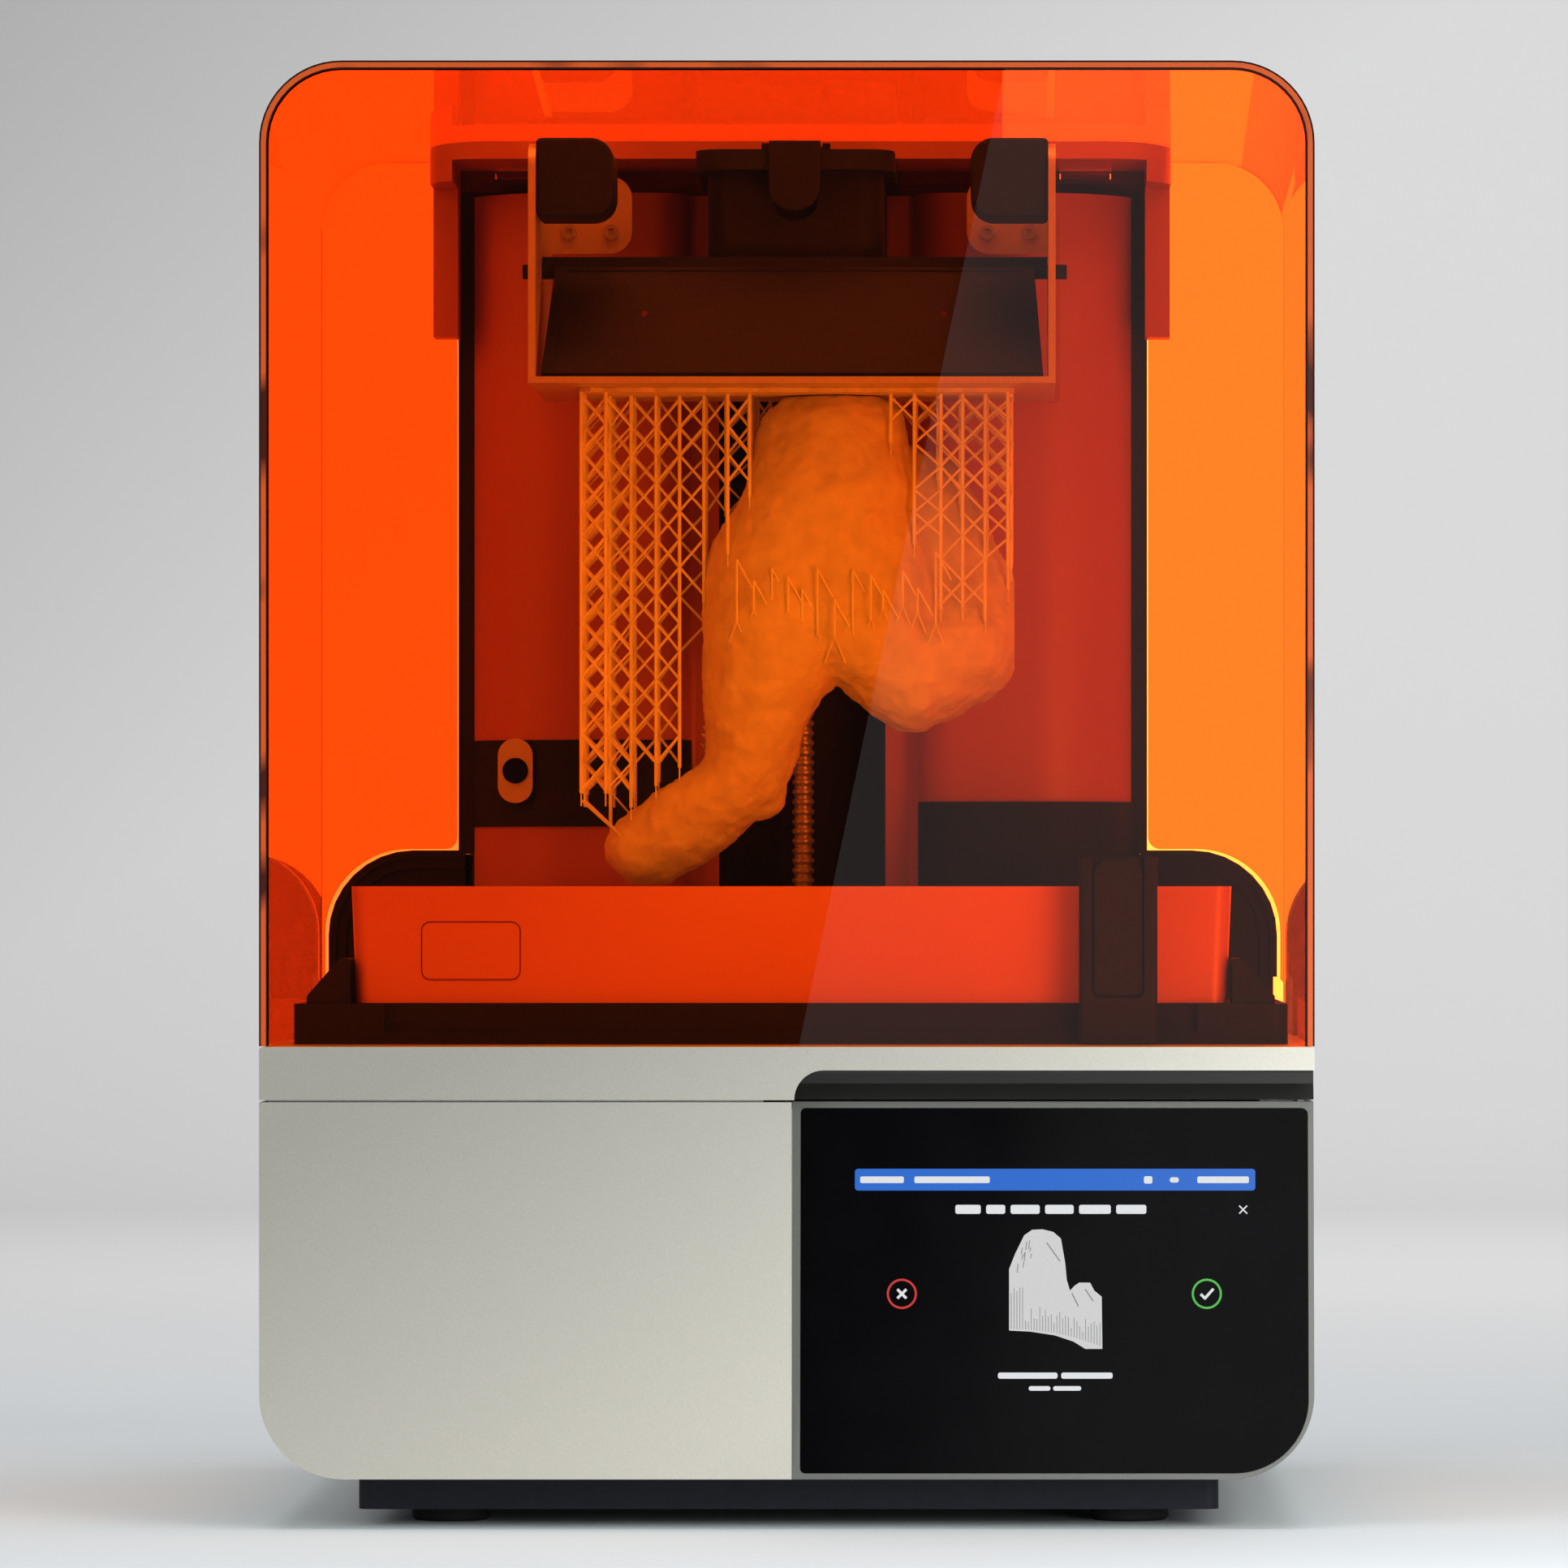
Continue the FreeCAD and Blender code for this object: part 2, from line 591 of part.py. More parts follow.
def mixer_arm():
    arm = prism("z", DECK_Z + 0.5, 254, rect(MIXER_X - 15, MIXER_X + 15, -134, -124.2, 2, 2, 0.8, 0.8))
    gate = prism("y", -135, -129.5, rect(MIXER_X - 10, MIXER_X + 10, 200, 260, 3, 3, 0, 0))
    lever = prism("y", -133.2, -129, rect(MIXER_X - 9.2, MIXER_X + 9.2, 201, 253, 2.5, 2.5, 6, 6))
    tongue = box(MIXER_X - 9, MIXER_X + 9, -132.4, -128.6, 170, DECK_Z + 2)
    slider = box(MIXER_X - 12, MIXER_X + 12, -148, -128.6, 162, 176.5)
    slider = slider.cut(rod("x", ROD_R + FIT, ROD_Y, ROD_Z, 90, 160))
    return join(arm.cut(gate), lever, tongue, slider)


# Rear housing and cartridge

def rear_housing():
    outline = rect(-191.5, 191.5, DECK_Z, 256, 0, 0, 33, 33)
    shell = prism("y", 84, 180, outline)
    shell = shell.cut(prism("y", 84 + WALL, 180 - WALL, rect(-188.5, 188.5, DECK_Z - 1, 253, 0, 0, 30, 30)))
    shell = shell.cut(box(-137.5, 137.5, 80, 119, DECK_Z - 1, 260))
    band = prism("y", 83, 85.2, rect(-186, 186, DECK_Z + 6, 250, 0, 0, 28, 28))
    band = band.cut(prism("y", 82, 87, rect(-178, 178, DECK_Z + 5, 243, 0, 0, 22, 22)))
    shell = shell.cut(band).cut(box(-62, 62, 122, 174, 250, 260))
    shelf = box(-66, 66, 121, 178, DECK_Z, 185.5)
    return join(shell, shelf)


def resin_cartridge():
    bottle = prism("z", 186, 372, rect(-60, 60, 124, 172, 9))
    neck = rod("z", 15, -32, 148, 372, 380)
    cap = rod("z", 18, -32, 148, 380, 392)
    grip_cut = prism("y", 120, 180, rect(10, 48, 345, 362, 7))
    return join(bottle.cut(grip_cut), neck, cap)


# Cover and hinge

def sloped_prism(inset, low):
    """Rounded arch of the cover, swept back and down with its sloping top."""
    radius = COVER_CORNER - inset
    start = FRONT + ACRYLIC
    arch = rect(-HALF + inset, HALF - inset, low, HEIGHT - inset, 0, 0, radius, radius)
    face = Part.Face(rounded_wire("y", start, arch))
    return face.extrude(Vector(0, COVER_REAR - start, -COVER_SLOPE))


def cover_front_panel():
    radii = (0, 0, COVER_CORNER, COVER_CORNER)
    return prism("y", FRONT, FRONT + ACRYLIC, rect(-HALF, HALF, DECK_Z + COVER_GAP, HEIGHT, *radii))


def cover_wrap():
    arch = sloped_prism(0, 100).cut(sloped_prism(ACRYLIC, 50))
    return arch.cut(box(-250, 250, -250, 250, 0, DECK_Z + COVER_GAP)).cut(hinge_yoke())


def cover_rear_panel():
    slab = box(-HALF, HALF, COVER_REAR - ACRYLIC, COVER_REAR, DECK_Z + COVER_GAP, HEIGHT)
    panel = slab.common(sloped_prism(ACRYLIC, 50))
    right = [(HALF, DECK_Z - 5, 0), (HALF, 200, 0), (194.3, 205, 0), (194.3, 258, 34), (140.5, 258, 5),
             (140.5, TOWER_TOP + 2, 6)]
    left = [(-u, v, radius) for u, v, radius in reversed(right)]
    opening = prism("y", COVER_REAR - 10, COVER_REAR + 5, left + right)
    return panel.cut(opening).cut(hinge_yoke())


def hinge_yoke():
    roof = prism("z", 525, 550, rect(-149, 149, 16.5, COVER_REAR - ACRYLIC, 26, 26, 0, 0))
    roof = roof.cut(prism("z", 520, 533.5, rect(-139, 139, 12, COVER_REAR, 0)))
    roof = roof.common(sloped_prism(ACRYLIC, 50))
    arms = [box(min(side * 139, side * 149), max(side * 139, side * 149), 62, 79, 465, 530) for side in (-1, 1)]
    tongues = []
    for side in (-1, 1):
        x = side * 115
        tongues.append(box(x - 10, x + 10, 76, HINGE_Y, 533.5, 537))
        tongues.append(rod("x", 5, HINGE_Y, HINGE_Z, x - 10, x + 10))
    yoke = join(roof, *arms, *tongues)
    return yoke.cut(rod("x", PIN_R + FIT, HINGE_Y, HINGE_Z, -140, 140))


def hinge_pins():
    return both(rod("x", PIN_R, HINGE_Y, HINGE_Z, 97, 133))


def hinge_brackets():
    ears = []
    for x in (98, 125.6):
        ear = prism("x", x, x + 6.4, [(86, TOWER_TOP, 0), (99, TOWER_TOP, 0), (98, 541.4, 5.4), (87, 541.4, 5.4)])
        ears.append(ear.cut(rod("x", PIN_R, HINGE_Y, HINGE_Z, x - 1, x + 8)))
    foot = box(96, 134, 86, 104, TOWER_TOP, TOWER_TOP + 2.5)
    bracket = join(foot, *ears)
    return both(bracket)


# Platform and print

def build_plate():
    sheet = box(-PLATE_HALF, PLATE_HALF, PLATE_FRONT, PLATE_REAR, PLATE_Z, PLATE_Z + SHEET)
    walls = []
    for side in (-1, 1):
        inner = side * (PLATE_HALF - 2.8)
        outer = side * PLATE_HALF
        profile = rect(PLATE_FRONT, PLATE_REAR, PLATE_Z, 530, 0, 0, 6, 10)
        walls.append(prism("x", min(inner, outer), max(inner, outer), profile))
        flange = prism("y", PLATE_REAR - 2.8, PLATE_REAR, rect(67, 100, 496, 527, 9, 0, 0, 9))
        walls.append(flange if side > 0 else mirrored(flange))
        rail = join(box(38.5, 44, -46.5, -17.5, PLATE_Z, 474), box(34.6, 44, -46.5, -17.5, 470.3, 474))
        walls.append(rail if side > 0 else mirrored(rail))
    plate = join(sheet, *walls)
    for x in (75.3, 92):
        for side in (-1, 1):
            plate = plate.cut(rod("y", 1.5, side * x, 504.7, PLATE_REAR - 5, PLATE_REAR + 1))
    return plate.cut(box(-PLATE_HALF - 1, PLATE_HALF + 1, -56, -48, 480, 486.3))


def platform_screws():
    screws = []
    for x in (-92, -75.3, 75.3, 92):
        head = rod("y", 3.0, x, 504.7, PLATE_REAR - 4.8, PLATE_REAR - 2.8)
        head = head.cut(prism("y", PLATE_REAR - 5, PLATE_REAR - 3.8, rect(x - 1.2, x + 1.2, 503.5, 505.9, 0.4)))
        screws.append(join(head, rod("y", 1.5, x, 504.7, PLATE_REAR - 2.8, PLATE_REAR)))
    return Part.makeCompound(screws)


def platform_grips():
    grip = prism("y", -100, -62, rect(69, 99, 501.5, 532, 9, 2, 2, 9))
    edges = [edge for edge in grip.Edges if abs(edge.BoundBox.YMax + 100) < 0.01]
    return both(grip.makeFillet(1.5, edges))


def shield_face(inset, depth):
    """Trapezoid in the shield's slanted plane, set in from its border and down into its thickness."""
    drop = Vector(0, depth / math.sqrt(2), -depth / math.sqrt(2))
    low = inset / math.sqrt(2)
    corners = [Vector(-97 + inset, -99.5 + low, 441.2 + low), Vector(97 - inset, -99.5 + low, 441.2 + low),
               Vector(93.5 - inset, -53.8 - low, 486.9 - low), Vector(-93.5 + inset, -53.8 - low, 486.9 - low)]
    corners = [corner + drop for corner in corners]
    return Part.Face(Part.makePolygon(corners + [corners[0]]))


def drip_shield():
    across = Vector(0, 1 / math.sqrt(2), -1 / math.sqrt(2))
    panel = shield_face(0, 0).extrude(across * 2.4)
    panel = panel.cut(shield_face(4.5, -1).extrude(across * 1.5))
    ledge = box(-98.8, 98.8, -55.6, -50, 486, 489)
    pegs = box(-106.5, 106.5, -55.6, -50, 480.6, 486)
    for x in (-58.2, 58.2):
        panel = panel.cut(rod("y", 1.3, x, 465.8, -90, -60))
    return join(panel, ledge, pegs)


def printed_model():
    """Closed solid of the print and its supports, from the platform down to its lowest tip."""
    outline = [(-84, 436.8, 0), (-84, 272, 4), (-73, 262, 4), (-73, 243.4, 2), (-47, 243.4, 3), (-25, 268, 4),
               (-7, 274, 5), (-5, 300, 8), (13, 324, 14), (34, 306, 10), (60, 304, 10), (84, 320, 10), (86, 350, 6),
               (86, 436.8, 0)]
    return prism("y", -74, -4, outline)


NODES = [
    lower_shell, screen_bezel, screen_glass, display_module, deck_frame, chassis_frame, plinth, rubber_feet,
    light_engine_housing, led_board, lens_array, heat_sink, light_fan_frame, light_fan_rotor, exhaust_fan_frame,
    exhaust_fan_rotor, lcd_mask, control_board, power_supply, rear_connectors, power_switch, tower_shell,
    tower_back_cover, linear_rails, lead_screw, screw_coupler, screw_bearings, z_motor, carriage_block, lead_nut,
    carriage_arm, latch_tab, air_heater, camera_band, camera_plate, camera_lens, tank_frame, tank_film, mixer_blade,
    tank_carrier, wedge_guides, mixer_rail, mixer_motor, mixer_belt, mixer_pulley_drive, mixer_pulley_idler,
    mixer_arm, rear_housing, resin_cartridge, cover_front_panel, cover_wrap, cover_rear_panel, hinge_yoke,
    hinge_pins, hinge_brackets, build_plate, platform_screws, platform_grips, drip_shield, printed_model,
]

os.makedirs("parts", exist_ok=True)
for make in NODES:
    make().exportStep("parts/" + make.__name__ + ".step")
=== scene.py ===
import json
import math
import random

import bmesh
import bpy
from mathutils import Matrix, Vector, noise
from mathutils.bvhtree import BVHTree


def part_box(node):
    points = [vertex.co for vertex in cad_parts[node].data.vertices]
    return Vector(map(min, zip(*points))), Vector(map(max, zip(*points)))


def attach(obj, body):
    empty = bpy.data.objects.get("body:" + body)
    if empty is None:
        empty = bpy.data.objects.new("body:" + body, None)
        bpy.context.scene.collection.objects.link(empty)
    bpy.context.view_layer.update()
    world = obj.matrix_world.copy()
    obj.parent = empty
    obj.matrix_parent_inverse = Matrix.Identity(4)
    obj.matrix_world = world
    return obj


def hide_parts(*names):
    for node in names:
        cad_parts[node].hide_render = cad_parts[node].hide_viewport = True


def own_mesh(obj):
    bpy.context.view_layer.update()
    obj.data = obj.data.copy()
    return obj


# Desktop resin printer: materials for the CAD pieces, the print with its supports, the screen's picture,
# fine trim, studio light and the camera. Metres, in the CAD model's frame.

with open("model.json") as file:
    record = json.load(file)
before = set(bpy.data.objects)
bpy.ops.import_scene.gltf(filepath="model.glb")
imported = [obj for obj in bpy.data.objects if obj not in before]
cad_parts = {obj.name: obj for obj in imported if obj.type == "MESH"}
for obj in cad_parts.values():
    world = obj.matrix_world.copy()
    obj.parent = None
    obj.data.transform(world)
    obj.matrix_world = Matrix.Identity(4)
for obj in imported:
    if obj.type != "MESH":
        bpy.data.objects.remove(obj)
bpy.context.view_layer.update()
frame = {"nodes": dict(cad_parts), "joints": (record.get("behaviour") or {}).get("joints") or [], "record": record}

# Where the camera stands and what it takes in
CAMERA = Vector((0.082, -3.5235, 0.240))
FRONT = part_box("cover_front_panel")[0].y
LENS = 203.4
SENSOR = 36.0
SHIFT_X = -0.1405
SHIFT_Y = 0.0697

WHITE = (1, 1, 1)
AMBER = (1.0, 0.26, 0.05)        # what one wall of the cover lets through
AMBER_LAMP = (1.0, 0.80, 0.45)   # what one face of it lets through for light from lamps

MM = 0.001
PLATE_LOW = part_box("build_plate")[0].z          # underside of the build platform
PRINT_VOXEL = 1.6 * MM
PRINT_ROUGHNESS = ((2.6, 42), (1.1, 120), (0.7, 330))    # each a depth in mm and a scale of noise
PRINT_LOW, PRINT_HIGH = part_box("printed_model")
Z_TRAVEL = -min(next(j for j in frame["joints"] if j["name"] == "z_slide")["range_m"])


# Node-tree helpers

class Surface:
    """A material on one Principled shader, with short ways to add pattern nodes."""

    def __init__(self, name, color, roughness=0.5, **sockets):
        self.material = bpy.data.materials.new(name)
        self.material.use_nodes = True
        self.tree = self.material.node_tree
        self.shader = self.tree.nodes["Principled BSDF"]
        self.output = self.tree.nodes["Material Output"]
        self.color = color
        self.shader.inputs["Base Color"].default_value = (*color, 1)
        self.shader.inputs["Roughness"].default_value = roughness
        for socket, value in sockets.items():
            self.shader.inputs[socket.replace("_", " ")].default_value = value
        self.coords = self.tree.nodes.new("ShaderNodeTexCoord")

    def add(self, kind, **values):
        node = self.tree.nodes.new(kind)
        for key, value in values.items():
            if hasattr(node, key):
                setattr(node, key, value)
            else:
                node.inputs[key.replace("_", " ")].default_value = value
        return node

    def link(self, source, target):
        self.tree.links.new(source, target)

    def stretched(self, scale):
        """Object coordinates scaled along each axis."""
        mapping = self.add("ShaderNodeMapping")
        mapping.inputs["Scale"].default_value = scale
        self.link(self.coords.outputs["Object"], mapping.inputs["Vector"])
        return mapping.outputs["Vector"]

    def noise(self, scale, detail=2.0, stretch=(1, 1, 1)):
        node = self.add("ShaderNodeTexNoise", Scale=scale, Detail=detail)
        self.link(self.stretched(stretch), node.inputs["Vector"])
        return node.outputs["Fac"]

    def remap(self, source, low, high, start=0.3, stop=0.7):
        node = self.add("ShaderNodeMapRange", From_Min=start, From_Max=stop, To_Min=low, To_Max=high)
        self.link(source, node.inputs["Value"])
        return node.outputs["Result"]

    def mix(self, factor, first, second):
        """Colour between two colours or sockets."""
        node = self.add("ShaderNodeMix", data_type="RGBA")
        for socket, value in ((node.inputs[0], factor), (node.inputs[6], first), (node.inputs[7], second)):
            if isinstance(value, bpy.types.NodeSocket):
                self.link(value, socket)
            elif isinstance(value, tuple):
                socket.default_value = (*value, 1)
            else:
                socket.default_value = value
        return node.outputs[2]

    def shade(self, amount):
        return tuple(min(channel * amount, 1.0) for channel in self.color)

    def speckle(self, scale, spread, stretch=(1, 1, 1), detail=2.0):
        """Colour that wanders by spread on each side of the base colour."""
        factor = self.remap(self.noise(scale, detail, stretch), 0, 1)
        color = self.mix(factor, self.shade(1 - spread), self.shade(1 + spread))
        self.link(color, self.shader.inputs["Base Color"])
        return self

    def vary_roughness(self, scale, low, high, stretch=(1, 1, 1)):
        self.link(self.remap(self.noise(scale, 3.0, stretch), low, high), self.shader.inputs["Roughness"])
        return self

    def bump(self, scale, distance, strength=0.3, stretch=(1, 1, 1), detail=2.0):
        node = self.add("ShaderNodeBump", Strength=strength, Distance=distance)
        self.link(self.noise(scale, detail, stretch), node.inputs["Height"])
        self.link(node.outputs["Normal"], self.shader.inputs["Normal"])
        return self

    def within(self, centre, half):
        """1 inside a box given by its centre and half sizes, else 0."""
        shift = self.add("ShaderNodeVectorMath", operation="SUBTRACT")
        shift.inputs[1].default_value = centre
        share = self.add("ShaderNodeVectorMath", operation="DIVIDE")
        share.inputs[1].default_value = half
        size = self.add("ShaderNodeVectorMath", operation="ABSOLUTE")
        split = self.add("ShaderNodeSeparateXYZ")
        widest = self.add("ShaderNodeMath", operation="MAXIMUM")
        largest = self.add("ShaderNodeMath", operation="MAXIMUM")
        test = self.add("ShaderNodeMath", operation="LESS_THAN")
        test.inputs[1].default_value = 1.0
        self.link(self.coords.outputs["Object"], shift.inputs[0])
        self.link(shift.outputs[0], share.inputs[0])
        self.link(share.outputs[0], size.inputs[0])
        self.link(size.outputs[0], split.inputs[0])
        self.link(split.outputs[0], widest.inputs[0])
        self.link(split.outputs[1], widest.inputs[1])
        self.link(widest.outputs[0], largest.inputs[0])
        self.link(split.outputs[2], largest.inputs[1])
        self.link(largest.outputs[0], test.inputs[0])
        return test.outputs[0]

    def passes_lamps(self, color):
        """Rays from lamps go straight through, tinted, so that what is behind gets lit."""
        path = self.add("ShaderNodeLightPath")
        clear = self.add("ShaderNodeBsdfTransparent")
        clear.inputs["Color"].default_value = (*color, 1)
        mixer = self.add("ShaderNodeMixShader")
        self.link(path.outputs["Is Shadow Ray"], mixer.inputs[0])
        self.link(self.shader.outputs[0], mixer.inputs[1])
        self.link(clear.outputs[0], mixer.inputs[2])
        self.link(mixer.outputs[0], self.output.inputs["Surface"])
        return self


def body_paint():
    """Light warm grey, painted darker at the upper left and lighter at the lower right as the light falls, with
    painted shade in the finger recess.
    """
    paint = Surface("body_paint", (0.485, 0.470, 0.410), 0.42, Metallic=0.35, Specular_IOR_Level=0.5)
    grain = paint.remap(paint.noise(1500), 0, 1)
    # painted light and shade: a shaded and a lit copy of the paint, blended along a slope towards the lower right
    dim = paint.mix(grain, paint.shade(0.80), paint.shade(0.90))
    bright = paint.mix(grain, paint.shade(1.25), paint.shade(1.37))
    painted_shading_slope = paint.add("ShaderNodeVectorMath", operation="DOT_PRODUCT")
    painted_shading_slope.inputs[1].default_value = (0.6, 0.0, -1.2)
    paint.link(paint.coords.outputs["Object"], painted_shading_slope.inputs[0])
    painted_shading = paint.mix(paint.remap(painted_shading_slope.outputs["Value"], 0, 1, -0.29, -0.05), dim, bright)
    # painted shade: the finger recess is made near black where shadow falls in it
    recess = paint.within((0.100, -0.1754, 0.1665), (0.0995, 0.0072, 0.0078))
    paint.link(paint.mix(recess, painted_shading, (0.022, 0.023, 0.020)), paint.shader.inputs["Base Color"])
    return paint.vary_roughness(900, 0.38, 0.48).bump(2200, 0.00004, 0.25).material


def bezel_paint():
    """Dark frame round the screen."""
    paint = Surface("bezel_paint", (0.16, 0.165, 0.148), 0.40, Metallic=0.3)
    return paint.speckle(1500, 0.06).vary_roughness(900, 0.36, 0.46).bump(2200, 0.00004, 0.25).material


def screen_black():
    glass = Surface("screen_black", (0.002, 0.002, 0.0025), 0.07, Specular_IOR_Level=0.2)
    return glass.speckle(40, 0.15).vary_roughness(30, 0.06, 0.10).material


def moulded(name, color, roughness, grain=1400, depth=0.00006):
    plastic = Surface(name, color, roughness, Specular_IOR_Level=0.18)
    plastic.speckle(180, 0.08).vary_roughness(500, roughness - 0.05, roughness + 0.07)
    return plastic.bump(grain, depth, 0.35).material


def satin_panel(name, color, roughness):
    panel = Surface(name, color, roughness, Coat_Weight=0.15, Coat_Roughness=0.3)
    panel.speckle(14, 0.03).vary_roughness(260, roughness - 0.04, roughness + 0.06)
    return panel.bump(1800, 0.00003, 0.2).material


def tower_paint():
    """Satin paint in front, dark behind the cover and at the bottom of the channel between the pillars."""
    paint = Surface("tower_paint", (0.50, 0.155, 0.105), 0.42, Coat_Weight=0.15, Coat_Roughness=0.3)
    grain = paint.mix(paint.remap(paint.noise(14), 0, 1), paint.shade(0.97), paint.shade(1.03))
    channel = paint.within((0.0, 0.075, 0.350), (0.0338, 0.016, 0.180))
    rear = paint.within((0.0, 0.1004, 0.350), (0.150, 0.0170, 0.180))
    outside = paint.mix(rear, grain, (0.030, 0.031, 0.034))
    paint.link(paint.mix(channel, outside, (0.008, 0.008, 0.009)), paint.shader.inputs["Base Color"])
    return paint.vary_roughness(260, 0.38, 0.48).bump(1800, 0.00003, 0.2).material


def brushed(name, color, roughness, stretch, metallic=1.0):
    metal = Surface(name, color, roughness, Metallic=metallic)
    metal.speckle(300, 0.07, stretch).vary_roughness(420, roughness - 0.06, roughness + 0.1, stretch)
    return metal.bump(500, 0.00002, 0.25, stretch).material


def circuit_board():
    board = Surface("circuit_board", (0.01, 0.10, 0.05), 0.35)
    return board.speckle(420, 0.35).vary_roughness(200, 0.3, 0.5).bump(700, 0.00005).material


def clear_lens():
    lens = Surface("clear_lens", (0.93, 0.95, 0.97), 0.05, Transmission_Weight=0.9, IOR=1.4)
    return lens.speckle(60, 0.02).passes_lamps((0.9, 0.92, 0.94)).material


def lcd_glass():
    glass = Surface("lcd_glass", (0.02, 0.022, 0.026), 0.08, Coat_Weight=0.5, Coat_Roughness=0.04)
    return glass.speckle(900, 0.2).vary_roughness(60, 0.07, 0.13).material


def tank_orange():
    vat = Surface("tank_orange", (0.68, 0.23, 0.075), 0.36, Coat_Weight=0.2, Coat_Roughness=0.25)
    return vat.speckle(9, 0.04).vary_roughness(220, 0.32, 0.42).bump(1600, 0.00003, 0.2).material


def amber_acrylic():
    acrylic = Surface("amber_acrylic", AMBER, 0.0, Transmission_Weight=1.0, IOR=1.45)
    acrylic.speckle(3, 0.012)
    return acrylic.passes_lamps(AMBER_LAMP).material


def resin(name, color):
    cured = Surface(name, color, 0.5, Subsurface_Weight=0.12)
    cured.shader.inputs["Subsurface Radius"].default_value = (0.004, 0.002, 0.001)
    cured.shader.inputs["Subsurface Scale"].default_value = 1.0
    cured.speckle(120, 0.08).vary_roughness(300, 0.48, 0.62)
    return cured.bump(420, 0.0004, 0.6, detail=6.0).material


def lit(name, color, strength):
    """Part of the screen's picture: a glowing pixel field with the faint unevenness of a panel."""
    glow = Surface(name, (0, 0, 0), 0.4, Emission_Strength=strength)
    factor = glow.remap(glow.noise(2600, 1.0), 0, 1)
    color_out = glow.mix(factor, tuple(c * 0.9 for c in color), color)
    glow.link(color_out, glow.shader.inputs["Emission Color"])
    return glow.material


def floor_paint():
    """Neutral floor with painted shade that darkens it towards the upper left of the backdrop, and painted light
    that makes it lighter and cooler near the front.
    """
    floor = Surface("studio_floor", (0.62, 0.62, 0.62), 0.75)
    grain = floor.remap(floor.noise(0.8), 0, 1)
    # painted shade: the floor and backdrop darken towards the upper left, as the light falls off
    painted_shading_slope = floor.add("ShaderNodeVectorMath", operation="DOT_PRODUCT")
    painted_shading_slope.inputs[1].default_value = (-0.7, 0.0, 1.0)
    floor.link(floor.coords.outputs["Object"], painted_shading_slope.inputs[0])
    dark = floor.mix(grain, (0.42, 0.42, 0.42), (0.43, 0.43, 0.43))
    light = floor.mix(grain, (0.64, 0.64, 0.64), (0.65, 0.65, 0.65))
    # painted light: the floor is made lighter and cooler in tone towards the front
    near = floor.add("ShaderNodeVectorMath", operation="DOT_PRODUCT")
    near.inputs[1].default_value = (0.0, -1.0, 0.0)
    floor.link(floor.coords.outputs["Object"], near.inputs[0])
    painted_cool_light = floor.remap(near.outputs["Value"], 0, 1, -1.6, 0.0)
    light = floor.mix(painted_cool_light, light, (0.665, 0.715, 0.74))
    color = floor.mix(floor.remap(painted_shading_slope.outputs["Value"], 0, 1, 0.7, 1.7), light, dark)
    floor.link(color, floor.shader.inputs["Base Color"])
    return floor.vary_roughness(3, 0.7, 0.8).material


SLOT_MATERIALS = {
    "body_paint": body_paint(),
    "bezel_paint": bezel_paint(),
    "screen_black": screen_black(),
    "black_plastic": moulded("black_plastic", (0.011, 0.012, 0.018), 0.6),
    "rubber": moulded("rubber", (0.018, 0.018, 0.018), 0.75, 900, 0.0001),
    "circuit_board": circuit_board(),
    "clear_lens": clear_lens(),
    "lcd_glass": lcd_glass(),
    "aluminium": brushed("aluminium", (0.62, 0.62, 0.63), 0.34, (1, 12, 1)),
    "zinc_steel": brushed("zinc_steel", (0.58, 0.56, 0.57), 0.30, (1, 1, 14), 0.6),
    "brass": brushed("brass", (0.70, 0.48, 0.20), 0.3, (1, 1, 10)),
    "tower_paint": tower_paint(),
    "camera_plate": satin_panel("camera_plate", (0.72, 0.66, 0.60), 0.4),
    "lens_black": moulded("lens_black", (0.004, 0.004, 0.004), 0.12),
    "tank_orange": tank_orange(),
    "bottle_grey": moulded("bottle_grey", (0.26, 0.27, 0.28), 0.42),
    "amber_acrylic": amber_acrylic(),
    "platform_metal": brushed("platform_metal", (0.72, 0.62, 0.60), 0.38, (12, 1, 1), 0.6),
    "resin_print": resin("resin_print", (0.74, 0.64, 0.33)),
}
NODE_SLOT = {part["node"]: part["material_slot"] for part in frame["record"]["subparts"]}

for node_name, node_object in frame["nodes"].items():
    mesh = node_object.data
    if not mesh.materials:
        mesh.materials.append(None)
    for index in range(len(mesh.materials)):
        mesh.materials[index] = SLOT_MATERIALS[NODE_SLOT[node_name]]


# Mesh helpers

def piece(name, vertices, faces, slot, body, material=None, smooth=False):
    """New piece from vertices and faces, with its slot's material, riding on a body."""
    mesh = bpy.data.meshes.new(name)
    mesh.from_pydata([tuple(v) for v in vertices], [], faces)
    mesh.validate()
    mesh.update()
    mesh.materials.append(material or SLOT_MATERIALS[slot])
    if smooth:
        mesh.shade_smooth()
    thing = bpy.data.objects.new(name, mesh)
    bpy.context.scene.collection.objects.link(thing)
    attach(thing, body)
    return thing


def joined(parts):
    """One list of vertices and one of faces from several."""
    vertices, faces = [], []
    for more_vertices, more_faces in parts:
        start = len(vertices)
        vertices.extend(more_vertices)
        faces.extend([tuple(start + i for i in face) for face in more_faces])
    return vertices, faces


def sides_and_ends(count):
    """Faces of a closed form whose vertices are one loop of count points and then the same loop moved."""
    faces = [(i, (i + 1) % count, count + (i + 1) % count, count + i) for i in range(count)]
    return faces + [tuple(reversed(range(count))), tuple(range(count, 2 * count))]


def strut(start, end, radius, sides=5):
    """Thin closed rod between two points."""
    start, end = Vector(start), Vector(end)
    along = (end - start).normalized()
    across = along.cross(Vector((0, 0, 1)) if abs(along.z) < 0.9 else Vector((1, 0, 0))).normalized()
    third = along.cross(across)
    vertices = []
    for centre in (start, end):
        for turn in range(sides):
            angle = 2 * math.pi * turn / sides
            vertices.append(centre + (across * math.cos(angle) + third * math.sin(angle)) * radius)
    return vertices, sides_and_ends(sides)


# Print and its supports

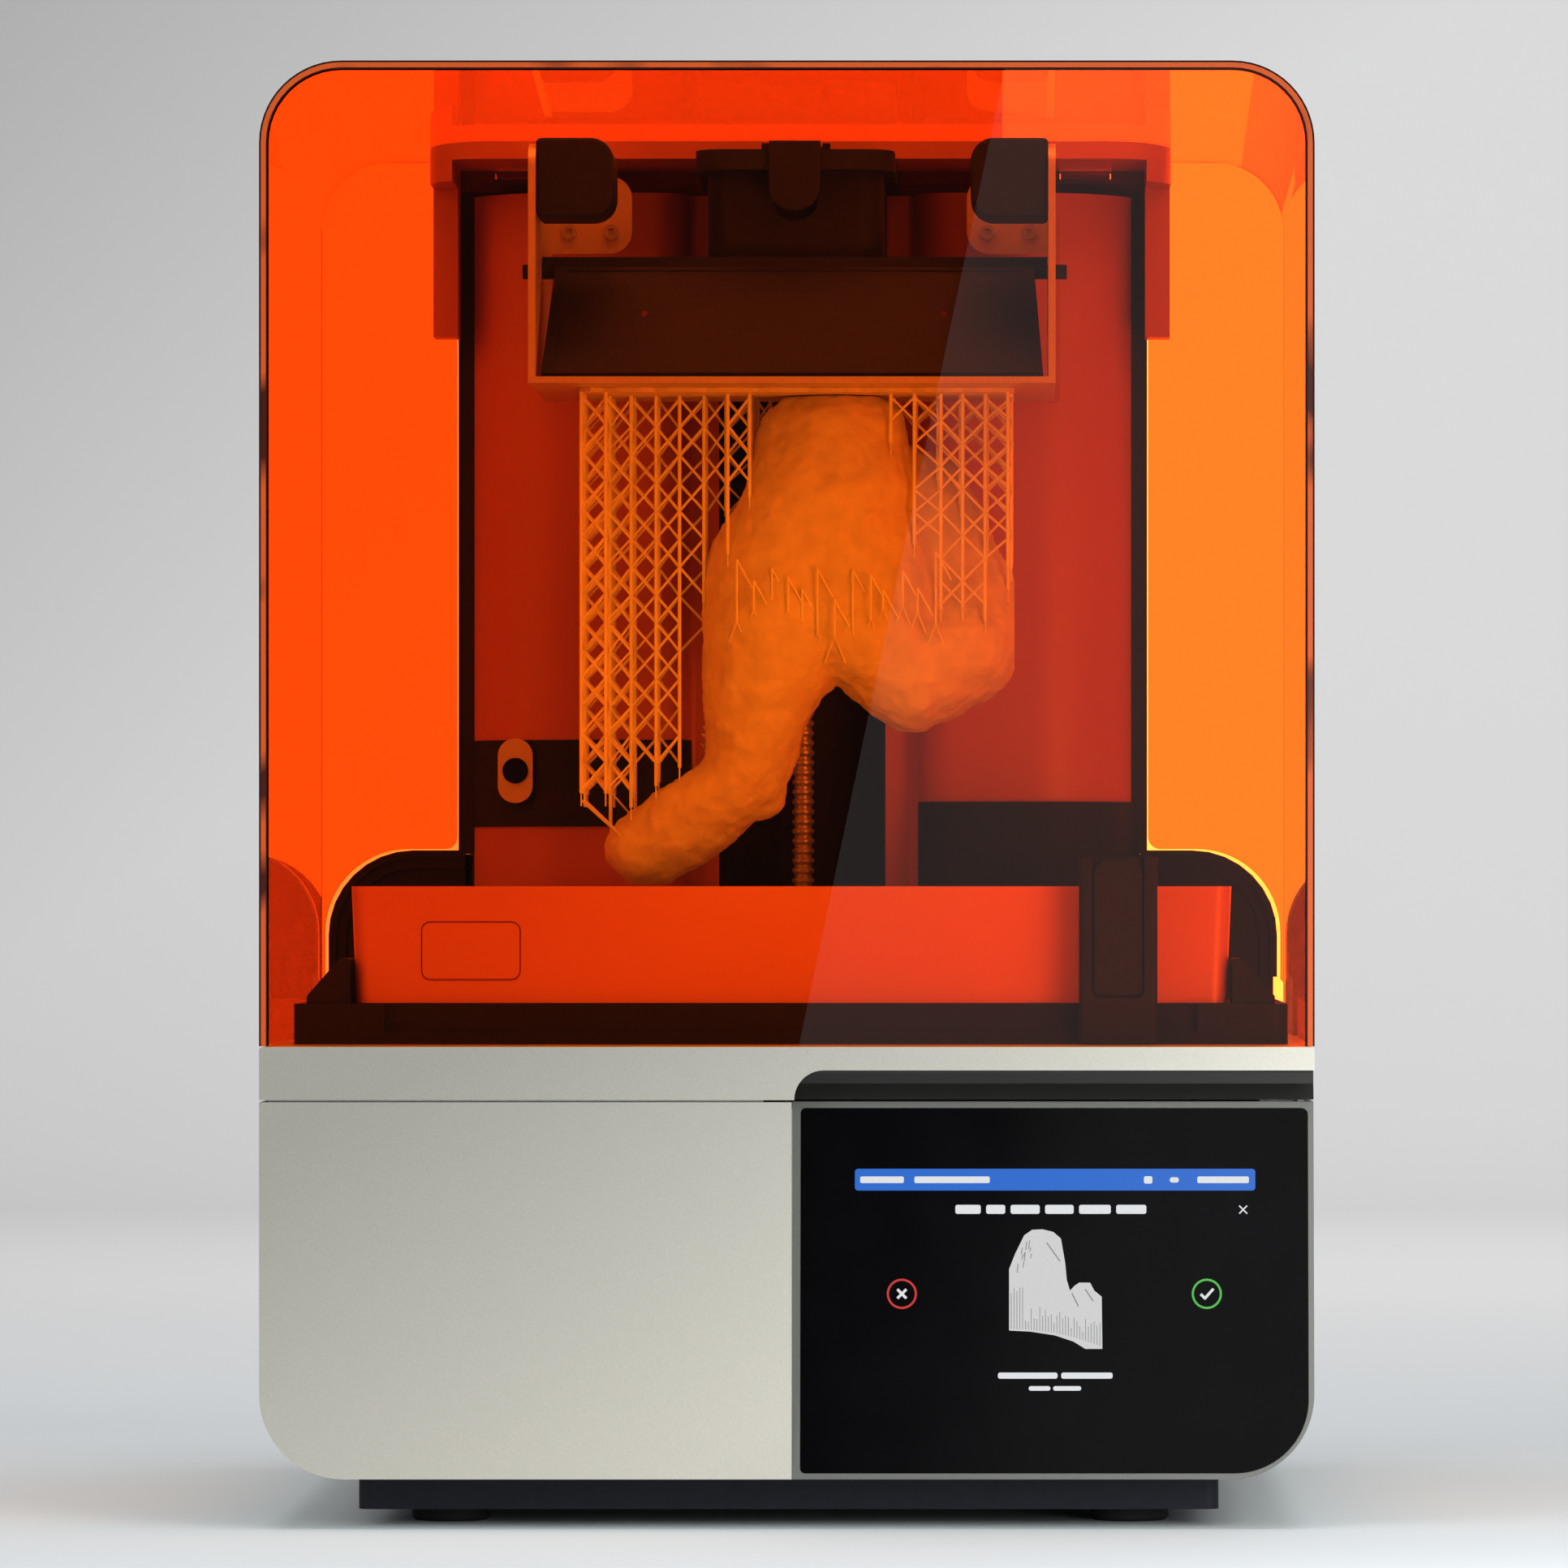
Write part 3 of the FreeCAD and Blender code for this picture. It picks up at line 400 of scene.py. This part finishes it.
def masses():
    """Rounded masses along the sweeps of the print, each a centre and its radii, in millimetres."""
    sweeps = [
        [((14, -42, 423), (29, 23, 15)), ((15, -42, 400), (34, 27, 22)), ((6, -40, 372), (40, 28, 24)),
         ((-4, -43, 345), (34, 28, 21)), ((-14, -42, 320), (23, 25, 18)), ((-17, -41, 300), (20, 22, 16)),
         ((-21, -40, 286), (17, 19, 15)), ((-40, -38, 270), (17, 17, 17)), ((-59, -36, 258), (16, 15, 15))],
        [((4, -43, 350), (36, 27, 25)), ((26, -43, 346), (30, 26, 22)), ((46, -43, 327), (20, 23, 25)),
         ((66, -40, 335), (22, 22, 21)), ((64, -30, 362), (22, 20, 22)), ((46, -28, 390), (26, 20, 26))],
        [((18, -44, 378), (34, 25, 26)), ((22, -44, 356), (36, 25, 22))],
        [((-18, -40, 286), (13, 15, 12)), ((-13, -38, 278), (8.5, 10, 8.5))],
    ]
    steps = 5
    for sweep in sweeps:
        for first, second in zip(sweep, sweep[1:]):
            for n in range(steps + 1):
                share = n / steps
                yield tuple(Vector(a).lerp(Vector(b), share) for a, b in zip(first, second))


def printed_part():
    """The printed thing itself: its masses made into one skin, relaxed and then roughened."""
    mesh = bmesh.new()
    for centre, radii in masses():
        made = bmesh.ops.create_icosphere(mesh, subdivisions=3, radius=MM)
        for vertex in made["verts"]:
            vertex.co = vertex.co * radii + centre * MM
    data = bpy.data.meshes.new("print_body")
    mesh.to_mesh(data)
    mesh.free()
    data.materials.append(SLOT_MATERIALS["resin_print"])
    thing = bpy.data.objects.new("print_body", data)
    bpy.context.scene.collection.objects.link(thing)
    remesh = thing.modifiers.new("one_skin", "REMESH")
    remesh.mode = "VOXEL"
    remesh.voxel_size = PRINT_VOXEL
    relax = thing.modifiers.new("relax", "SMOOTH")
    relax.iterations = 8
    relax.factor = 0.6
    solid = bpy.data.meshes.new_from_object(thing.evaluated_get(bpy.context.evaluated_depsgraph_get()))
    thing.modifiers.clear()
    thing.data = solid
    for vertex in solid.vertices:
        place = vertex.co
        push = sum(depth * noise.noise(place * scale) for depth, scale in PRINT_ROUGHNESS)
        place = place + vertex.normal * push * MM
        place.z = min(max(place.z, PRINT_LOW.z + 0.3 * MM), PLATE_LOW - 2.2 * MM)
        place.x = min(place.x, PRINT_HIGH.x)
        vertex.co = place
    solid.shade_smooth()
    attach(thing, "platform")
    return thing


def foot_of(column, skin, reach):
    """Where a support standing under the platform meets the print, or None."""
    start = Vector((column[0], column[1], PLATE_LOW - 3 * MM))
    place = skin.ray_cast(start, Vector((0, 0, -1)), reach)[0]
    return place.z if place else None


def lattice(columns_x, columns_y, low_of, level, skin, rng):
    """Rows of thin columns with zigzag bracing between neighbours."""
    rods = []
    feet = {}
    for i, x in enumerate(columns_x):
        for k, y in enumerate(columns_y):
            place = (x + rng.uniform(-0.9, 0.9) * MM, y + rng.uniform(-0.9, 0.9) * MM)
            hit = foot_of(place, skin, 0.19)
            low = hit if hit is not None else low_of(x)
            if low is None:
                continue
            feet[i, k] = (place, low)
            neck = low + 5 * MM
            top = PLATE_LOW - 1.6 * MM
            if top - neck < 2 * MM:
                rods.append(strut((*place, low), (*place, top), 0.5 * MM))
                continue
            rods.append(strut((*place, neck), (*place, top), 0.75 * MM))
            rods.append(strut((*place, neck), (place[0], place[1], low), 0.3 * MM))
    for (i, k), (place, low) in feet.items():
        for step in ((1, 0), (0, 1), (1, 1)):
            other = feet.get((i + step[0], k + step[1]))
            if other is None or (step == (1, 1) and rng.random() < 0.6):
                continue
            bottom = max(low, other[1]) + 6 * MM
            levels = int((PLATE_LOW - 3 * MM - bottom) / level)
            for n in range(levels):
                z = PLATE_LOW - 3 * MM - level * (n + 1)
                a, b = (place, other[0]) if (n + i + k) % 2 else (other[0], place)
                rods.append(strut((*a, z), (*b, z + level), 0.5 * MM, 4))
                if step != (1, 1) and rng.random() < 0.35:
                    rods.append(strut((*b, z), (*a, z + level), 0.42 * MM, 4))
    return rods


def supports(part):
    """Braced columns on the left, right and middle of the print, and short forks in front of it."""
    rng = random.Random(7)
    skin = BVHTree.FromPolygons([v.co for v in part.data.vertices], [p.vertices for p in part.data.polygons])
    left = [(-82.5 + 9.3 * i) * MM for i in range(8)]
    right = [(38 + 9.2 * i) * MM for i in range(6)]
    rows = [(-71 + 12.5 * k) * MM for k in range(6)]
    rods = lattice(left, rows, lambda x: 0.274 if x < -0.07 else None, 11 * MM, skin, rng)
    rods += lattice(right, rows, lambda x: 0.362 if x > 0.078 else None, 9 * MM, skin, rng)
    middle = [(-16 + 6.5 * i) * MM for i in range(7)]
    rods += lattice(middle, rows[4:], lambda x: None, 7 * MM, skin, rng)
    for n in range(4):
        rods.append(strut((-0.0825, rows[n], 0.276), (-0.068, -0.045 + 0.006 * n, 0.262), 0.5 * MM))
    # short forked props in front of the print
    for n in range(13):
        x = (-22 + 6.4 * n + rng.uniform(-1, 1)) * MM
        high = (372 - 14 * abs(math.sin(n * 1.3)) + rng.uniform(-4, 4)) * MM
        low = (338 + 6 * math.sin(n * 0.8)) * MM
        y = (-72 + rng.uniform(0, 3)) * MM
        rods.append(strut((x, y, high), (x, y, low + 8 * MM), 0.45 * MM))
        rods.append(strut((x, y, low + 8 * MM), (x - 4 * MM, y + 9 * MM, low - 2 * MM), 0.4 * MM))
        rods.append(strut((x, y, low + 8 * MM), (x + 4 * MM, y + 9 * MM, low - 2 * MM), 0.4 * MM))
        rods.append(strut((x, y, high), (x + 6 * MM, y + 2 * MM, high - 11 * MM), 0.4 * MM))
    pale = resin("resin_supports", (1.0, 0.92, 0.50))
    return piece("print_supports", *joined(rods), "resin_print", "platform", pale)


def raft():
    """Thin first layer of the print with small notches along its edge."""
    low, high = PLATE_LOW - 1.8 * MM, PLATE_LOW - 0.1 * MM
    x0, x1 = PRINT_LOW.x, PRINT_HIGH.x
    y0, y1 = PRINT_LOW.y, PRINT_HIGH.y
    outline = []
    steps = 34
    for side in range(4):
        ends = [((x0, y0), (x1, y0)), ((x1, y0), (x1, y1)), ((x1, y1), (x0, y1)), ((x0, y1), (x0, y0))][side]
        inward = [(0, 1), (-1, 0), (0, -1), (1, 0)][side]
        for n in range(steps):
            share = n / steps
            bite = (1.2 if n % 4 == 2 else 0.0) * MM + (3 * MM if n == 0 else 0)
            x = ends[0][0] + (ends[1][0] - ends[0][0]) * share + inward[0] * bite
            y = ends[0][1] + (ends[1][1] - ends[0][1]) * share + inward[1] * bite
            outline.append((x, y))
    vertices = [(x, y, z) for z in (low, high) for x, y in outline]
    return piece("print_raft", vertices, sides_and_ends(len(outline)), "resin_print", "platform")


def finished_print():
    """The print, its supports and its raft."""
    part = printed_part()
    bpy.context.view_layer.update()
    made = [part, supports(part), raft()]
    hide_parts("printed_model")
    for thing in made:
        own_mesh(thing)


# Trim

def slab(low, high):
    """Vertices and faces of a box between two corners."""
    vertices = [(x, y, z) for z in (low[2], high[2]) for x, y in
                ((low[0], low[1]), (high[0], low[1]), (high[0], high[1]), (low[0], high[1]))]
    return vertices, sides_and_ends(4)


def arc(cx, cz, radius, start, stop, steps=8):
    """Points in mm with their outward normals, from one angle in degrees to another."""
    out = []
    for n in range(steps + 1):
        angle = math.radians(start + (stop - start) * n / steps)
        way = (math.cos(angle), math.sin(angle))
        out.append((cx + radius * way[0], cz + radius * way[1], *way))
    return out


def band(path, inner, outer, near, far, closed=False):
    """Flat strip along a path in the XZ plane, between two offsets along its normals. All in mm."""
    vertices = []
    for x, z, nx, nz in path:
        for offset, y in ((inner, near), (outer, near), (outer, far), (inner, far)):
            vertices.append(((x + nx * offset) * MM, y * MM, (z + nz * offset) * MM))
    count = len(path)
    faces = []
    for n in range(count if closed else count - 1):
        a, b = 4 * n, 4 * ((n + 1) % count)
        faces += [(a + k, a + (k + 1) % 4, b + (k + 1) % 4, b + k) for k in range(4)]
    if not closed:
        faces += [(3, 2, 1, 0), tuple(4 * count - 4 + k for k in range(4))]
    return vertices, faces


def seals():
    """Black strips and a flap behind the cover's cut-out, and a black sheet deep in the tower's channel."""
    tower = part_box("tower_shell")[1] / MM
    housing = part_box("rear_housing")[1] / MM
    top = tower.z + 0.2
    parts = []
    for side in (-1, 1):
        parts.append(band([(side * tower.x, z, side, 0) for z in (housing.z, tower.z)], -4, 3.6, 83.2, 85.8))
        for near, far, height in ((95, 104.6, 534.5), (104.6, 125.4, 530.6), (125.4, 139.5, 534.5)):
            low, high = sorted((side * near, side * far))
            corners = ((low, 84, top), (high, 85.9, height))
            parts.append(slab(*[(x * MM, y * MM, z * MM) for x, y, z in corners]))
        corner = arc(housing.x - 33, housing.z - 33, 33, 0, 90)
        edge = [(housing.x, 206, 1, 0)] + corner + [(tower.x + 1, housing.z, 0, 1)]
        parts.append(band([(side * x, z, side * nx, nz) for x, z, nx, nz in edge], -1.5, 1.5, 83.0, 84.4))
    parts.append(slab((-0.096, 0.084, top * MM), (0.096, 0.0859, 0.5345)))
    parts.append(slab((-0.040, 0.1097, 0.192), (0.040, 0.1100, 0.516)))
    piece("tower_seals", *joined(parts), "rubber", "root")


def cover_rim():
    """Painted highlight: a bright line with painted shadow along its borders, where the front of the cover meets
    its sides.
    """
    glow = Surface("rim_painted_highlight", (0.85, 0.16, 0.015), 0.2, Coat_Weight=0.5, Coat_Roughness=0.05)
    streaks = glow.remap(glow.noise(22, 1.0), 0, 1, 0.56, 0.66)
    glow.link(glow.mix(streaks, (0.62, 0.09, 0.012), (0.06, 0.008, 0.003)), glow.shader.inputs["Base Color"])
    # painted shadow along both borders of the bright line
    dark = moulded("rim_shadow", (0.03, 0.006, 0.003), 0.3)
    low, high = (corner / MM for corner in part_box("cover_front_panel"))
    radius = 31
    path = [(low.x, low.z, -1, 0)] + arc(low.x + radius, high.z - radius, radius, 180, 90, 12)
    path += arc(high.x - radius, high.z - radius, radius, 90, 0, 12) + [(high.x, low.z, 1, 0)]
    near = low.y - 0.12
    piece("rim_painted_highlight", *band(path, -2.6, -0.7, near, low.y), "amber_acrylic", "cover", glow.material)
    edges = joined([band(path, -0.7, -0.05, near, low.y), band(path, -3.1, -2.6, near, low.y)])
    piece("rim_shadow", *edges, "amber_acrylic", "cover", dark)


def tank_plaque():
    """Outline of the shallow plaque on the front of the vat."""
    x0, x1, z0, z1, radius = -142.3, -104.1, 206.4, 229.3, 3.5
    path = []
    for cx, cz, start in ((x1 - radius, z1 - radius, 90), (x1 - radius, z0 + radius, 0),
                          (x0 + radius, z0 + radius, -90), (x0 + radius, z1 - radius, -180)):
        path += arc(cx, cz, radius, start, start - 90, 5)
    vat = frame["nodes"]["tank_frame"]
    front = [vat.ray_cast(Vector((x * MM, -0.3, z * MM)), Vector((0, 1, 0)))[1].y for x, z, _, _ in path]
    vertices, faces = band(path, -0.45, 0, 0, 0.3, closed=True)
    vertices = [(x, y + front[n // 4] - 0.12 * MM, z) for n, (x, y, z) in enumerate(vertices)]
    groove = moulded("plaque_line", (0.25, 0.05, 0.015), 0.5)
    piece("tank_plaque", vertices, faces, "tank_orange", "tank", groove)


# Screen picture

GLASS_LOW, GLASS_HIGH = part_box("screen_glass")
LEAN = math.atan2(GLASS_HIGH.y - GLASS_LOW.y - 1.2 * MM, GLASS_HIGH.z - GLASS_LOW.z)


def on_glass(x, z, lift):
    """Point on the leaning glass at width x and height z, lift in front of it."""
    run = (z - GLASS_LOW.z) / math.cos(LEAN)
    y = GLASS_LOW.y + run * math.sin(LEAN) - lift * math.cos(LEAN)
    return Vector((x, y, z + lift * math.sin(LEAN)))


def tile(points, lift=0.12 * MM):
    """Flat closed shape on the glass from (x, z) points that go round it."""
    vertices = [on_glass(x, z, level) for level in (0.02 * MM, lift) for x, z in points]
    return vertices, sides_and_ends(len(points))


def bar(x0, x1, z0, z1, radius):
    """Rounded bar, all in millimetres."""
    points = []
    for cx, cz, start in ((x1 - radius, z1 - radius, 0), (x0 + radius, z1 - radius, 90),
                          (x0 + radius, z0 + radius, 180), (x1 - radius, z0 + radius, 270)):
        for step in range(5):
            angle = math.radians(start + 22.5 * step)
            points.append(((cx + radius * math.cos(angle)) * MM, (cz + radius * math.sin(angle)) * MM))
    return tile(points)


def words(x, z0, z1, widths):
    """Row of plain bars in place of words."""
    for width in widths:
        yield bar(x, x + width, z0, z1, 0.8)
        x += width + (z1 - z0) * 0.6


def ring(cx, cz, outer, inner):
    """Flat ring of short tiles, all in millimetres."""
    parts = []
    sides = 40
    for n in range(sides):
        a, b = 2 * math.pi * n / sides, 2 * math.pi * (n + 1) / sides
        corners = [(outer, a), (outer, b), (inner, b), (inner, a)]
        parts.append(tile([((cx + r * math.cos(t)) * MM, (cz + r * math.sin(t)) * MM) for r, t in corners]))
    return joined(parts)


def stroke(x0, z0, x1, z1, width):
    """Straight line of a given width, all in millimetres."""
    dx, dz = x1 - x0, z1 - z0
    length = math.hypot(dx, dz)
    nx, nz = -dz / length * width / 2, dx / length * width / 2
    points = [(x0 + nx, z0 + nz), (x0 - nx, z0 - nz), (x1 - nx, z1 - nz), (x1 + nx, z1 + nz)]
    return tile([(x * MM, z * MM) for x, z in points])


def thumbnail():
    """Small picture of the print standing on its supports."""
    outline = [(83.8, 74.9), (83.8, 98), (86.1, 103.8), (89.5, 110.7), (92.5, 112.8), (96.4, 113),
               (100.5, 112), (103.4, 109.5), (105, 100.3), (105.6, 94), (106.8, 89.9), (108.6, 91.8),
               (110.3, 92.9), (114.4, 92.9), (116, 89.9), (118.8, 87.6), (119, 68), (112.6, 68),
               (108, 70.8), (101, 73.1), (91.8, 74.5)]
    return tile([(x * MM, z * MM) for x, z in outline])


def thumbnail_shade():
    """Darker strokes between the supports of the small picture."""
    rng = random.Random(3)
    parts = []
    for n in range(32):
        x = 84.6 + 1.08 * n
        low = 75.5 - 0.0055 * (x - 84) ** 2
        high = low + rng.uniform(3, 9) + (9 if x < 89 else 0)
        parts.append(stroke(x, low, x, high, 0.28))
    for n in range(10):
        x, z = rng.uniform(86, 92), rng.uniform(94, 106)
        parts.append(stroke(x, z, x + 0.4, z + rng.uniform(1.5, 3.5), 0.35))
    for points in (((107.5, 89), (110, 84)), ((98, 108), (103, 101)), ((112.5, 90.5), (115.5, 86))):
        parts.append(stroke(*points[0], *points[1], 0.5))
    return joined(parts)


def screen_picture():
    """Header, two rings, a small picture, and bars in place of words. Places are in millimetres."""
    white = lit("screen_white", (0.85, 0.87, 0.9), 0.9)
    grey = lit("screen_grey", (0.80, 0.80, 0.80), 0.8)
    blue = lit("screen_blue", (0.015, 0.14, 0.62), 1.0)
    red = lit("screen_red", (0.62, 0.03, 0.03), 1.0)
    green = lit("screen_green", (0.07, 0.50, 0.06), 1.0)
    shade = lit("screen_shade", (0.33, 0.34, 0.35), 0.8)
    header = bar(25.5, 176.9, 127.6, 135.8, 1.2)
    in_header = [bar(27.5, 44, 130.4, 132.9, 0.6), bar(48, 76.5, 130.4, 132.9, 0.6),
                 bar(155, 174.5, 130.4, 132.9, 0.6), bar(134.8, 138, 130.2, 133, 0.7),
                 bar(144.6, 148, 130.6, 132.6, 0.9)]
    closing_cross = [stroke(170.8, 118.9, 173.8, 121.9, 0.5), stroke(170.8, 121.9, 173.8, 118.9, 0.5)]
    lines = [*words(63.5, 118.8, 122.2, (9.6, 7.2, 11.0, 10.8, 12.0, 11.4)),
             *words(79.6, 56.8, 59.1, (22.5, 19.4)), *words(91.2, 52.3, 54.0, (8.2, 10.6))]
    cross = [stroke(41.6, 87, 45, 90.4, 1.0), stroke(41.6, 90.4, 45, 87, 1.0)]
    tick = [stroke(156.2, 88.6, 158, 86.8, 1.0), stroke(157.6, 86.8, 161, 90.6, 1.0)]
    marks = in_header + closing_cross + lines + cross + tick
    shapes = {
        "screen_header": (header, blue),
        "screen_marks": (joined(marks), white),
        "screen_ring_left": (ring(43.3, 88.7, 5.7, 4.9), red),
        "screen_ring_right": (ring(158.5, 88.7, 5.7, 4.9), green),
        "screen_thumbnail": (thumbnail(), grey),
        "screen_thumbnail_shade": (thumbnail_shade(), shade),
    }
    for name, (shape, material) in shapes.items():
        vertices, faces = shape
        if name in ("screen_marks", "screen_thumbnail_shade"):
            vertices = [v + Vector((0, -0.05 * MM, 0)) for v in vertices]
        piece(name, vertices, faces, "screen_black", "root", material)


# Studio

def camera():
    """Long lens straight at the front, shifted to frame the printer."""
    data = bpy.data.cameras.new("camera")
    data.lens = LENS
    data.sensor_width = SENSOR
    data.shift_x = SHIFT_X
    data.shift_y = SHIFT_Y
    data.clip_end = 60
    thing = bpy.data.objects.new("camera", data)
    thing.location = CAMERA
    thing.rotation_euler = (math.radians(90), 0, 0)
    bpy.context.scene.collection.objects.link(thing)
    bpy.context.scene.camera = thing


def area_light(name, place, turn, size, power, color, seen_by):
    """Rectangular light that the camera itself doesn't see."""
    data = bpy.data.lights.new(name, "AREA")
    data.shape = "RECTANGLE"
    data.size, data.size_y = size
    data.energy = power
    data.color = color
    thing = bpy.data.objects.new(name, data)
    thing.location = place
    thing.rotation_euler = turn
    bpy.context.scene.collection.objects.link(thing)
    thing.visible_camera = False
    thing.visible_diffuse = "diffuse" in seen_by
    thing.visible_glossy = "glossy" in seen_by
    thing.visible_transmission = "transmission" in seen_by
    return thing


def lamp(name, place, target, size, power, color=WHITE, seen_by=("diffuse", "glossy", "transmission")):
    """Area light that points from its place at a target."""
    turn = (Vector(target) - Vector(place)).to_track_quat("-Z", "Y").to_euler()
    return area_light(name, place, turn, size, power, color, seen_by)


def seen_through_cover(thing):
    """Lamp that lights no surface, and shows only through the cover, before any diffuse bounce."""
    thing.visible_diffuse = False
    thing.visible_glossy = False
    thing.data.use_nodes = True
    tree = thing.data.node_tree
    emission = tree.nodes["Emission"]
    path = tree.nodes.new("ShaderNodeLightPath")
    direct = tree.nodes.new("ShaderNodeMath")
    direct.operation = "LESS_THAN"
    direct.inputs[1].default_value = 0.5
    tree.links.new(path.outputs["Diffuse Depth"], direct.inputs[0])
    tree.links.new(direct.outputs[0], emission.inputs["Strength"])


def soft_edge():
    """Far tall lamp whose slanting left edge shows as a faint line in the cover and the screen."""
    slant = math.radians(11.9)
    width, height = 1.6, 9.0
    edge = Vector((-0.0187, FRONT - 10.0, 1.0))
    brightness = 0.42
    place = edge + Vector((math.cos(slant), 0, -math.sin(slant))) * (width / 2)
    power = brightness * math.pi * width * height
    area_light("soft_edge", place, (math.radians(90), slant, 0), (width, height), power, WHITE, ("glossy",))


def room_light():
    """Even light from all round, dim in reflections, so that glossy faces show the lamps and little else."""
    world = bpy.data.worlds.new("studio")
    world.use_nodes = True
    sky = world.node_tree.nodes["Background"]
    sky.inputs["Color"].default_value = (0.80, 0.80, 0.81, 1)
    path = world.node_tree.nodes.new("ShaderNodeLightPath")
    dim = world.node_tree.nodes.new("ShaderNodeMapRange")
    dim.inputs["To Min"].default_value = 0.62
    dim.inputs["To Max"].default_value = 0.045
    world.node_tree.links.new(path.outputs["Is Glossy Ray"], dim.inputs["Value"])
    world.node_tree.links.new(dim.outputs["Result"], sky.inputs["Strength"])
    bpy.context.scene.world = world


def studio_floor():
    """Floor that curves up into the backdrop."""
    rise, reach, front, back, curve, steps = 6.0, 9.0, -6.0, 3.2, 1.2, 12
    path = [(front, 0.0), (back, 0.0)]
    for step in range(1, steps + 1):
        angle = math.radians(90 * step / steps)
        path.append((back + curve * math.sin(angle), curve - curve * math.cos(angle)))
    path.append((back + curve, rise))
    vertices = [(x, y, z) for y, z in path for x in (-reach, reach)]
    faces = [(2 * i, 2 * i + 1, 2 * i + 3, 2 * i + 2) for i in range(len(path) - 1)]
    mesh = bpy.data.meshes.new("studio_floor")
    mesh.from_pydata(vertices, [], faces)
    mesh.materials.append(floor_paint())
    mesh.shade_smooth()
    floor = bpy.data.objects.new("studio_floor", mesh)
    bpy.context.scene.collection.objects.link(floor)


def lamps():
    """Soft lights in front, above and on the backdrop, the print's glow, and what shows through the cover."""
    lamp("key", (0.45, -0.70, 0.10), (0.12, -0.18, 0.06), (0.3, 0.3), 2.4)
    lamp("high", (2.2, -2.4, 2.6), (0, 0, 0.3), (1.6, 1.6), 26)
    lamp("fill", (-2.6, -2.2, 1.6), (0, 0, 0.3), (2.2, 2.2), 36)
    lamp("top", (0.1, -0.3, 2.4), (0, 0, 0.3), (1.6, 1.2), 26)
    lamp("backdrop", (0.6, 1.8, 2.2), (0.6, 4.4, 0.3), (3.0, 1.2), 44, seen_by=("diffuse",))
    # what a fluorescing resin adds on the real machine
    lamp("print_glow", (0.0, -0.168, 0.335), (0.0, -0.04, 0.335), (0.12, 0.16), 0.05,
         (0.12, 1, 0.25), ("diffuse",))
    # bright fields behind the cover, seen only through it
    split = 0.081
    for name, x, power, color in (("behind_left", split - 1.0, 24, (1, 0.37, 0.05)),
                                  ("behind_right", split + 1.0, 62, (1, 0.65, 0.3))):
        seen_through_cover(lamp(name, (x, 1.4, 0.5), (x, 0, 0.5), (2.0, 2.2), power, color))
    soft_edge()


bpy.context.scene.view_settings.view_transform = "Standard"
camera()
room_light()
studio_floor()
lamps()
finished_print()
seals()
cover_rim()
tank_plaque()
screen_picture()
